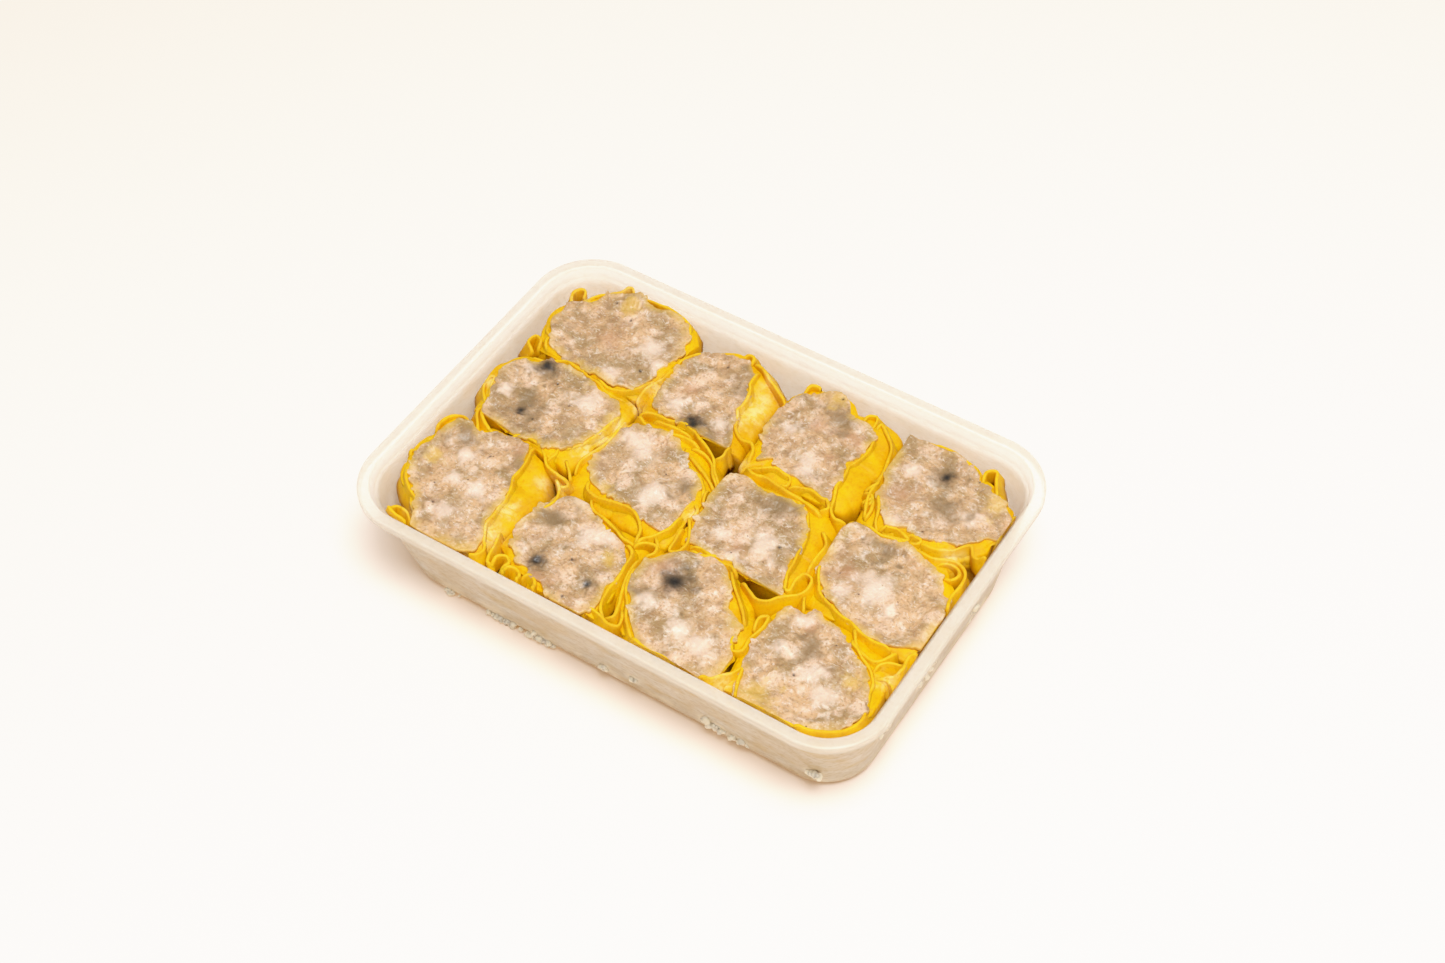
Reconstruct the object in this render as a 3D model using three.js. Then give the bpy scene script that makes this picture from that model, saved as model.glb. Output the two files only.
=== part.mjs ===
// Twelve siu mai packed four by three in a rectangular takeaway tub.
// Millimetres, +Z up. The origin is the middle of the tub's underside, +X runs along its long side.
import * as THREE from "three";

const DEGREE = Math.PI / 180;
const FULL_TURN = 2 * Math.PI;
const QUARTER_TURN = FULL_TURN / 4;

// Tub: a thin-walled tray with a flat rim, a short skirt under the rim and walls that taper inwards.
const TUB_LENGTH = 172;
const TUB_WIDTH = 120;
const TUB_HEIGHT = 40;
const RIM_CORNER = 19;
const RIM_WIDTH = 3.6;
const RIM_THICKNESS = 1.1;
const RIM_BEVEL = 0.5;
const SKIRT_DEPTH = 2.6;
const SKIRT_WALL = 0.9;
const STEP_DEPTH = 3.2;
const STEP_WIDTH = 0.7;
const WALL = 1;
const FLOOR = 1.2;
const TAPER_X = 5.2;
const TAPER_Y = 8.8;
const BASE_CORNER = 15.3;
const BASE_FILLET = 4;
const CORNER_STEPS = 7;
const FILLET_STEPS = 3;
const WALL_HALVINGS = 24;

// Wrapper: a thin pleated cup, widest at its belly, whose shoulder comes in to a rim round the filling.
// The belly takes the room there is at BELLY_ROOM_Z, and lies lower under the rim the wider the shoulder.
const ANGLES = 34;
const BUNCHING = 0.55;
const SKIN = 1.1;
const BASE_Z = FLOOR + 0.4;
const HEEL_Z = 6;
const BELLY_ROOM_Z = 28;
const BASE_SHARE = 0.66;
const HEEL_SHARE = 0.84;
const SHOULDER_SHARE = 0.62;
const SHOULDER_FALL = 1.6;
const SHOULDER_SLOPE = 0.45;
const SHOULDER_FALL_SHARE = 0.35;
const RIM_DROP = 2.2;
const RIM_WAVE = 0.5;
const RIM_WAVE_TURNS = 2;
const PLUMPNESS = 1.5;
const PLEAT_DEPTH = 1.3;
const PLEATS = 10;
const PLEAT_DRIFT = [[2, 1, 1], [3, 2, 0.5]];
const RUFFLE_PITCH = 5.4;
const RUFFLE_FADE = 3;
const RUFFLE_LIFT = 0.4;

// Room between the pieces: to the tub, to the next dumpling, and from wrapper to filling.
const TUB_GAP = 0.4;
const SEAM_GAP = 0.4;
const FIT = 0.35;
const NEIGHBOUR_REACH = 60;
const SEAM_ROUNDING = 14;

// Filling: a low mound of mince, lumpy and rounded at its edge.
const CRAG = 0.6;
const CRAG_TURNS = 3;
const BROW_SHARE = 0.92;
const MOUND_SHARE = 0.55;
const MOUND_FALL = 0.9;
const LUMP_HEIGHT = 0.6;
const LUMP_LENGTH = 4.5;

// Three slanting waves that make an unevenness: how fast each runs along u and v, and its offset.
const UNEVEN_WAVES = [[2.1, 1.3, 1.7], [-1.4, 2.6, 2.9], [3.7, -2.2, 0.6]];

// Each dumpling: the middle of its filling, the height of its top, and the filling's reach in eight
// directions counted anticlockwise from +X. Towards +X, +Y, -X and -Y: the wrapper's skirt beyond
// the filling, and how far its rim stands up. Its ruffle's direction in degrees and its depth.
const DUMPLINGS = [
  { name: "a1", x: -53, y: 36, top: 37.6, reach: [21, 21.5, 16, 18.5, 21, 20.5, 15, 19.5],
    skirt: [1, 1, 2, 1], rise: [0.4, 1.6, 0.8, 0.6], ruffle: { at: 205, depth: 1.6 }, seed: 11 },
  { name: "a2", x: -18, y: 32, top: 36.9, reach: [9.5, 12, 18, 15, 13, 17, 14.5, 18],
    skirt: [12, 1, 1, 2], rise: [0.3, 0.8, 0.2, 1.2], ruffle: { at: 300, depth: 1.6 }, seed: 12 },
  { name: "a3", x: 17, y: 33, top: 37.2, reach: [14, 15.5, 19, 17, 14.5, 13.5, 14.5, 20],
    skirt: [9, 1, 1, 2], rise: [0.4, 0.6, 0.2, 1], ruffle: { at: 262, depth: 2 }, seed: 13 },
  { name: "a4", x: 60, y: 34, top: 36.9, reach: [20.5, 14, 15.5, 24.5, 18.5, 16.5, 14, 17],
    skirt: [2, 1, 1, 4], rise: [0.8, 1.2, 0.4, 0.8], ruffle: { at: 250, depth: 2 }, seed: 14 },
  { name: "b1", x: -54, y: 4, top: 37.4, reach: [20.5, 19, 14, 19, 19, 17, 14, 16.5],
    skirt: [4, 1, 2, 2], rise: [0.6, 0.8, 0.8, 0.8], ruffle: { at: 235, depth: 1.8 }, seed: 21 },
  { name: "b2", x: -17, y: -3, top: 37, reach: [16, 12, 14.5, 17, 17, 20, 12.2, 19],
    skirt: [2, 4, 1, 6], rise: [0.6, 1.2, 0.2, 0.2], ruffle: { at: 40, depth: 2 }, seed: 22 },
  { name: "b3", x: 20, y: -4, top: 37.2, reach: [14, 14.5, 13.5, 21, 16, 16.5, 13.5, 21],
    skirt: [7, 2, 1, 2], rise: [0.4, 0.8, 0.2, 0.6], ruffle: { at: 300, depth: 1.8 }, seed: 23 },
  { name: "b4", x: 61, y: -2, top: 36.7, reach: [20, 16.5, 15.5, 23.5, 19.5, 16, 14.5, 20],
    skirt: [2, 2, 1, 3], rise: [0.8, 1.2, 0.2, 0.4], ruffle: { at: 55, depth: 2 }, seed: 24 },
  { name: "c1", x: -59, y: -34, top: 37.4, reach: [12.5, 18, 22, 20.5, 15.5, 15, 18.5, 17.5],
    skirt: [9, 2, 2, 1], rise: [0.3, 0.4, 1, 0.4], ruffle: { at: 190, depth: 1.4 }, seed: 31 },
  { name: "c2", x: -19, y: -38, top: 36.9, reach: [16.5, 15, 16.5, 19.5, 15.5, 17, 15.5, 19],
    skirt: [2, 2, 1, 1], rise: [0.4, 0.4, 0.2, 1], ruffle: { at: 232, depth: 2.2 }, seed: 32 },
  { name: "c3", x: 19, y: -38, top: 37.2, reach: [17.5, 15, 19, 20.5, 17.5, 15.5, 15.5, 20],
    skirt: [3, 1, 1, 1], rise: [0.4, 0.4, 0.4, 0.4], ruffle: { at: 20, depth: 1.8 }, seed: 33 },
  { name: "c4", x: 59, y: -38, top: 36.9, reach: [16.5, 15, 17, 24, 17.5, 19, 15.5, 16],
    skirt: [5, 4, 1, 1], rise: [1, 0.6, 0.2, 0.8], ruffle: { at: 62, depth: 2 }, seed: 34 },
];

// A closed solid through rings of equal length, from a bottom pole to a top or inner pole.
// Every quad is cut from its lower ring's point to its upper ring's next point, so that nested
// shells stay parallel.
function lofted(rings, startPole, endPole) {
  const count = rings[0].length;
  const points = [startPole, ...rings.flat(), endPole];
  const index = (ring, step) => 1 + ring * count + (step % count);
  const meanHeight = (ring) => ring.reduce((sum, point) => sum + point.z, 0) / count;
  const faces = [];
  for (let step = 0; step < count; step += 1) {
    faces.push(0, index(0, step + 1), index(0, step));
    for (let ring = 0; ring + 1 < rings.length; ring += 1) {
      const a = index(ring, step);
      const b = index(ring, step + 1);
      const c = index(ring + 1, step + 1);
      const d = index(ring + 1, step);
      const rising = meanHeight(rings[ring + 1]) >= meanHeight(rings[ring]);
      faces.push(...(rising ? [a, b, c, a, c, d] : [a, b, d, b, c, d]));
    }
    faces.push(index(rings.length - 1, step), index(rings.length - 1, step + 1), points.length - 1);
  }
  const geometry = new THREE.BufferGeometry();
  geometry.setFromPoints(points);
  geometry.setIndex(faces);
  geometry.computeVertexNormals();
  return geometry;
}

// A rounded rectangle at one height, anticlockwise, with an arc of CORNER_STEPS pieces at each corner.
function roundedRing(halfX, halfY, corner, z) {
  const ring = [];
  for (let quarter = 0; quarter < 4; quarter += 1) {
    const sideX = quarter === 0 || quarter === 3 ? 1 : -1;
    const sideY = quarter < 2 ? 1 : -1;
    for (let step = 0; step <= CORNER_STEPS; step += 1) {
      const angle = (quarter + step / CORNER_STEPS) * QUARTER_TURN;
      ring.push(new THREE.Vector3(
        sideX * (halfX - corner) + corner * Math.cos(angle),
        sideY * (halfY - corner) + corner * Math.sin(angle),
        z,
      ));
    }
  }
  return ring;
}

// The tub wall's outer half sizes and corner radius at height z: a straight taper from rim to base.
function wallAt(z) {
  const drop = (TUB_HEIGHT - z) / TUB_HEIGHT;
  return {
    halfX: TUB_LENGTH / 2 - RIM_WIDTH - TAPER_X * drop,
    halfY: TUB_WIDTH / 2 - RIM_WIDTH - TAPER_Y * drop,
    corner: THREE.MathUtils.lerp(RIM_CORNER - RIM_WIDTH, BASE_CORNER, drop),
  };
}

// The wall's outline at height z, moved in by inset.
function wallRing(z, inset) {
  const wall = wallAt(z);
  return roundedRing(wall.halfX - inset, wall.halfY - inset, wall.corner - inset, z);
}

// The rim's outline at height z, moved in by inset from the tub's outermost edge.
function rimRing(z, inset) {
  return roundedRing(TUB_LENGTH / 2 - inset, TUB_WIDTH / 2 - inset, RIM_CORNER - inset, z);
}

// Rings of the rounded edge between floor and wall, from the floor up, for a wall moved in by inset.
function filletRings(floor, radius, inset) {
  const rings = [];
  for (let step = 0; step <= FILLET_STEPS; step += 1) {
    const angle = (step / FILLET_STEPS) * QUARTER_TURN;
    const z = floor + radius * (1 - Math.cos(angle));
    rings.push(wallRing(z, inset + radius * (1 - Math.sin(angle))));
  }
  return rings;
}

// From the middle of the underside out and up the wall, round the skirt and rim, and down inside.
function tubGeometry() {
  const skirtFoot = TUB_HEIGHT - SKIRT_DEPTH;
  const underRim = TUB_HEIGHT - RIM_THICKNESS;
  const rings = [
    ...filletRings(0, BASE_FILLET, 0),
    wallRing(underRim, 0),
    rimRing(underRim, SKIRT_WALL),
    rimRing(skirtFoot, SKIRT_WALL),
    rimRing(skirtFoot, 0),
    rimRing(TUB_HEIGHT - RIM_BEVEL, 0),
    rimRing(TUB_HEIGHT, RIM_BEVEL),
    rimRing(TUB_HEIGHT, RIM_WIDTH - RIM_BEVEL),
    rimRing(TUB_HEIGHT - RIM_BEVEL, RIM_WIDTH),
    wallRing(TUB_HEIGHT - STEP_DEPTH, WALL - STEP_WIDTH),
    wallRing(TUB_HEIGHT - STEP_DEPTH - STEP_WIDTH, WALL),
    ...filletRings(FLOOR, BASE_FILLET - WALL, WALL).reverse(),
  ];
  return lofted(rings, new THREE.Vector3(0, 0, 0), new THREE.Vector3(0, 0, FLOOR));
}

// Signed distance from a point to the tub's inner wall at height z, negative inside.
function tubDistance(x, y, z) {
  const wall = wallAt(z);
  const inset = WALL + TUB_GAP;
  const corner = wall.corner - inset;
  const overX = Math.abs(x) - (wall.halfX - inset - corner);
  const overY = Math.abs(y) - (wall.halfY - inset - corner);
  const outside = Math.hypot(Math.max(overX, 0), Math.max(overY, 0));
  return outside + Math.min(Math.max(overX, overY), 0) - corner;
}

// How far a ray from (x, y) goes before it meets the tub's inner wall, found by halving.
function tubReach(x, y, angle, z) {
  let near = 0;
  let far = TUB_LENGTH;
  for (let pass = 0; pass < WALL_HALVINGS; pass += 1) {
    const middle = (near + far) / 2;
    const inside = tubDistance(x + middle * Math.cos(angle), y + middle * Math.sin(angle), z) < 0;
    near = inside ? middle : near;
    far = inside ? far : middle;
  }
  return near;
}

// A smooth closed curve through evenly spaced values round a circle, read at an angle.
function around(values, angle) {
  const turn = (angle / FULL_TURN) * values.length;
  const whole = Math.floor(turn);
  const part = turn - whole;
  const at = (step) => values[(whole + step + 2 * values.length) % values.length];
  const slope = (at(1) - at(-1)) / 2;
  const nextSlope = (at(2) - at(0)) / 2;
  const square = part * part;
  const cube = square * part;
  return at(0) * (2 * cube - 3 * square + 1) + slope * (cube - 2 * square + part)
    + at(1) * (3 * square - 2 * cube) + nextSlope * (cube - square);
}

// A smooth unevenness from about -1 to 1 over a plane, which the seed picks.
function uneven(u, v, seed) {
  const sum = UNEVEN_WAVES.reduce((total, [alongU, alongV, offset]) => (
    total + Math.sin(alongU * u + alongV * v + offset * seed)
  ), 0);
  return sum / UNEVEN_WAVES.length;
}

// How far a dumpling wants to reach at its belly: its filling and the skirt of its wrapper.
function wanted(dumpling, angle) {
  return around(dumpling.reach, angle) + Math.max(around(dumpling.skirt, angle), 0);
}

// The upright planes that part a dumpling from its neighbours, as a direction and a distance from
// its middle. Each lies between the two where their wanted reaches meet.
function seamsOf(dumpling) {
  const seams = [];
  for (const other of DUMPLINGS) {
    const distance = Math.hypot(other.x - dumpling.x, other.y - dumpling.y);
    if (other !== dumpling && distance < NEIGHBOUR_REACH) {
      const direction = Math.atan2(other.y - dumpling.y, other.x - dumpling.x);
      const own = wanted(dumpling, direction);
      const theirs = wanted(other, direction + Math.PI);
      seams.push({ direction, distance: (distance * own) / (own + theirs) - SEAM_GAP / 2 });
    }
  }
  return seams;
}

// The room a dumpling has at an angle and height: the smooth least of its seams, and the tub's wall.
function room(dumpling, seams, angle, z) {
  let sum = 0;
  for (const seam of seams) {
    const facing = Math.max(Math.cos(angle - seam.direction), 0);
    sum += (facing / seam.distance) ** SEAM_ROUNDING;
  }
  const seamReach = sum ** (-1 / SEAM_ROUNDING);
  return Math.min(seamReach, tubReach(dumpling.x, dumpling.y, angle, z));
}

// Pleats as dents from 0 to 1 round the wrapper. Each drift wave, by its turns, its share of the seed
// and its strength, spaces them unevenly.
function pleat(dumpling, angle) {
  const drift = PLEAT_DRIFT.reduce((total, [turns, seedShare, strength]) => (
    total + strength * Math.sin(turns * angle + seedShare * dumpling.seed)
  ), 0);
  return (1 - Math.cos(PLEATS * angle + drift + dumpling.seed)) / 2;
}

// The ruffle's wave from -1 to 1, strongest at its own direction and gone a quarter turn away.
function ruffleWave(dumpling, angle) {
  const away = angle - dumpling.ruffle.at * DEGREE;
  const folds = Math.round((FULL_TURN * around(dumpling.reach, angle)) / RUFFLE_PITCH);
  return Math.max(Math.cos(away), 0) ** RUFFLE_FADE * Math.cos(folds * away);
}

// The measures of one dumpling at one angle: how far wrapper and filling reach at each height.
function sectionAt(dumpling, seams, angle) {
  const { seed, top, ruffle } = dumpling;
  const wave = ruffleWave(dumpling, angle);
  const dent = PLEAT_DEPTH * pleat(dumpling, angle);
  const roomAt = (z) => room(dumpling, seams, angle, z);
  const belly = Math.min(roomAt(BELLY_ROOM_Z), wanted(dumpling, angle) + PLUMPNESS) - dent;
  const lift = Math.max(around(dumpling.rise, angle), 0) + RUFFLE_LIFT * ruffle.depth * wave;
  const rimZ = top - RIM_DROP + lift + RIM_WAVE * uneven(RIM_WAVE_TURNS * angle, 0, seed);
  const crag = CRAG * uneven(CRAG_TURNS * Math.cos(angle), CRAG_TURNS * Math.sin(angle), seed);
  const edge = Math.min(around(dumpling.reach, angle) + crag, roomAt(rimZ) - SKIN - FIT);
  const rim = Math.min(edge + FIT + SKIN + ruffle.depth * Math.max(wave, 0), roomAt(rimZ));
  const fall = SHOULDER_FALL + SHOULDER_SLOPE * Math.max(belly - rim, 0);
  return {
    angle,
    rimZ,
    rim,
    edge,
    belly,
    bellyZ: rimZ - fall,
    shoulderZ: rimZ - SHOULDER_FALL_SHARE * fall,
    shoulder: THREE.MathUtils.lerp(rim, belly, SHOULDER_SHARE),
    heel: Math.min(HEEL_SHARE * belly, roomAt(HEEL_Z)),
    base: Math.min(BASE_SHARE * belly, roomAt(BASE_Z) - BASE_FILLET),
  };
}

// Every section of a dumpling, with their angles bunched towards its ruffle for the folds there.
function sectionsOf(dumpling) {
  const seams = seamsOf(dumpling);
  return Array.from({ length: ANGLES }, (_, step) => {
    const even = (step / ANGLES) * FULL_TURN;
    return sectionAt(dumpling, seams, dumpling.ruffle.at * DEGREE + even - BUNCHING * Math.sin(even));
  });
}

// A section's skin as points of reach and height: its base, heel, belly and shoulder, moved in by
// inset along each corner's mitre, and last its rim, which stays where it is.
function profileOf(section, inset) {
  const line = [
    new THREE.Vector2(0, BASE_Z),
    new THREE.Vector2(section.base, BASE_Z),
    new THREE.Vector2(section.heel, HEEL_Z),
    new THREE.Vector2(section.belly, section.bellyZ),
    new THREE.Vector2(section.shoulder, section.shoulderZ),
    new THREE.Vector2(section.rim, section.rimZ),
  ];
  const outward = line.slice(1).map((point, step) => {
    const along = point.clone().sub(line[step]).normalize();
    return new THREE.Vector2(along.y, -along.x);
  });
  return line.slice(1).map((point, step) => {
    if (step === outward.length - 1) {
      return point;
    }
    const below = outward[step];
    const above = outward[step + 1];
    const mitre = below.clone().add(above).multiplyScalar(inset / (1 + below.dot(above)));
    return point.clone().sub(mitre);
  });
}

// One ring of a dumpling: reach and height worked out from each section.
function ringOf(dumpling, sections, reachOf, heightOf) {
  return sections.map((section) => new THREE.Vector3(
    dumpling.x + reachOf(section) * Math.cos(section.angle),
    dumpling.y + reachOf(section) * Math.sin(section.angle),
    heightOf(section),
  ));
}

// The profile's points that a skin has rings at: outside its base, heel, belly and shoulder, and
// inside it runs straight from base to belly.
const OUTER_RINGS = [0, 1, 2, 3];
const INNER_RINGS = [0, 2, 3];

// The dumpling's skin moved in by inset, as rings from its base up to its shoulder.
function skinRings(dumpling, sections, inset, steps) {
  return steps.map((step) => ringOf(
    dumpling,
    sections,
    (section) => profileOf(section, inset)[step].x,
    (section) => profileOf(section, inset)[step].y,
  ));
}

function wrapperGeometry(dumpling, sections) {
  const rings = [
    ...skinRings(dumpling, sections, 0, OUTER_RINGS),
    ringOf(dumpling, sections, (s) => s.rim, (s) => s.rimZ),
    ringOf(dumpling, sections, (s) => s.rim - SKIN, (s) => s.rimZ),
    ...skinRings(dumpling, sections, SKIN, INNER_RINGS).reverse(),
  ];
  const middle = (z) => new THREE.Vector3(dumpling.x, dumpling.y, z);
  return lofted(rings, middle(BASE_Z), middle(BASE_Z + SKIN));
}

// A point of the filling's top, at a share of the way out: a low mound with lumps.
function moundPoint(dumpling, section, share) {
  const x = dumpling.x + share * section.edge * Math.cos(section.angle);
  const y = dumpling.y + share * section.edge * Math.sin(section.angle);
  const lump = LUMP_HEIGHT * uneven(x / LUMP_LENGTH, y / LUMP_LENGTH, dumpling.seed);
  return new THREE.Vector3(x, y, dumpling.top - LUMP_HEIGHT - MOUND_FALL * share * share + lump);
}

function fillingGeometry(dumpling, sections) {
  const inside = SKIN + FIT;
  const rings = [
    ...skinRings(dumpling, sections, inside, INNER_RINGS),
    ringOf(dumpling, sections, (s) => s.edge, (s) => s.rimZ),
    ...[BROW_SHARE, MOUND_SHARE].map((share) => (
      sections.map((section) => moundPoint(dumpling, section, share))
    )),
  ];
  const bottom = new THREE.Vector3(dumpling.x, dumpling.y, BASE_Z + inside);
  const peak = new THREE.Vector3(dumpling.x, dumpling.y, dumpling.top - LUMP_HEIGHT);
  return lofted(rings, bottom, peak);
}

function plasticMaterial() {
  return new THREE.MeshStandardMaterial({ color: 0xe9e2d8, roughness: 0.4, metalness: 0 });
}

function wrapperMaterial() {
  return new THREE.MeshStandardMaterial({ color: 0xf3c40c, roughness: 0.55, metalness: 0 });
}

function fillingMaterial() {
  return new THREE.MeshStandardMaterial({ color: 0xcbb6a2, roughness: 0.5, metalness: 0 });
}

function named(name, geometry, material) {
  const mesh = new THREE.Mesh(geometry, material);
  mesh.name = name;
  return mesh;
}

// One dumpling: its wrapper cup and the filling that sits in it.
function dumplingGroup(dumpling) {
  const sections = sectionsOf(dumpling);
  const pair = new THREE.Group();
  pair.add(named(`wrapper_${dumpling.name}`, wrapperGeometry(dumpling, sections), wrapperMaterial()));
  pair.add(named(`filling_${dumpling.name}`, fillingGeometry(dumpling, sections), fillingMaterial()));
  return pair;
}

const group = new THREE.Group();
group.add(named("tub", tubGeometry(), plasticMaterial()));
DUMPLINGS.forEach((dumpling) => group.add(dumplingGroup(dumpling)));

export default group;
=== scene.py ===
"""Twelve raw siu mai packed four by three in a translucent takeaway tub: the fine surfaces and finishes.

Metres in Blender. Driving sizes are in millimetres, in the tub's own frame: the origin is the middle
of its underside, +X runs along its long side and +Z is up.
"""
import math

import bpy
import numpy as np
from mathutils import Matrix, Vector


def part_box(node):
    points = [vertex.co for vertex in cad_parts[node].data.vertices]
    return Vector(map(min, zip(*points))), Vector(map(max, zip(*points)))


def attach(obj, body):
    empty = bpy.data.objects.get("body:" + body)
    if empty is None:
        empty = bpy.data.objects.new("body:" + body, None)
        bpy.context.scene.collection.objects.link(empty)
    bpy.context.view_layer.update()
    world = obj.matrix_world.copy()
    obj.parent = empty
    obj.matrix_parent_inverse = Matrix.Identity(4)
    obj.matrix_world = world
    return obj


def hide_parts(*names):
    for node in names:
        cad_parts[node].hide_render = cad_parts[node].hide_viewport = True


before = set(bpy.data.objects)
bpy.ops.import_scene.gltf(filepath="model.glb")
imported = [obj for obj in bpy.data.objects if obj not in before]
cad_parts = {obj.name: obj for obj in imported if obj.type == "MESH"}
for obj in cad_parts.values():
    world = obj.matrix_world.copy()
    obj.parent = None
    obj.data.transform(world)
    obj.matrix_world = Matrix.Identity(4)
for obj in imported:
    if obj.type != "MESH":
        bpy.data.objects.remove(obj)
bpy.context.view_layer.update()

MM = 0.001
DEGREE = math.pi / 180
FULL_TURN = 2 * math.pi
ROOT = "root"

# Tub: a thin-walled tray with a flat rim, a short skirt under the rim and walls that taper inwards.
TUB_LENGTH, TUB_WIDTH, TUB_HEIGHT = [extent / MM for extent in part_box("tub")[1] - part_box("tub")[0]]
RIM_CORNER = 19
RIM_WIDTH = 3.6
RIM_THICKNESS = 1.1
RIM_BEVEL = 0.5
SKIRT_DEPTH = 2.6
SKIRT_WALL = 0.9
STEP_DEPTH = 3.2
STEP_WIDTH = 0.7
WALL = 1
FLOOR = 1.2
TAPER_X = 5.2
TAPER_Y = 8.8
BASE_CORNER = 15.3
BASE_FILLET = 4

# Wrapper: a thin pleated cup, widest at its belly, whose shoulder comes in to a rim round the filling.
# Shares are of the belly's reach, and of the way from the rim down to the belly.
SKIN = 0.9
BASE_Z = FLOOR + 0.4
HEEL_Z = 6
BELLY_ROOM_Z = 28
BASE_SHARE = 0.66
HEEL_SHARE = 0.84
SHOULDER_SHARE = 0.62
SHOULDER_FALL = 1.6
SHOULDER_SLOPE = 0.45
SHOULDER_FALL_SHARE = 0.2
RIM_DROP = 2.2
RIM_WAVE = 0.5
RIM_WAVE_TURNS = 2
RIM_TUCK = 1.4
PLUMPNESS = 1.5
PLEAT_DEPTH = 1.2
PLEATS = 10
PLEAT_BREADTH = 0.6
PLEAT_DRIFT = [[2, 1, 1], [3, 2, 0.5]]

# Room between the pieces: to the tub, to the next dumpling, and from wrapper to filling.
TUB_GAP = 0.3
SEAM_GAP = 0.12
NEIGHBOUR_REACH = 60
SEAM_ROUNDING = 26
CROWD_SHARPNESS = 6
CROWDING = 4.5
WALL_HALVINGS = 24

# Filling: a low mound of mince, lumpy and rounded at its edge.
MOUND_FALL = 0.9
LUMP_HEIGHT = 0.6
LUMP_LENGTH = 4.5
UNEVEN_WAVES = [[2.1, 1.3, 1.7], [-1.4, 2.6, 2.9], [3.7, -2.2, 0.6]]
BLUNTING = (-2.4, -0.8, 0.8, 2.4)

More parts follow.
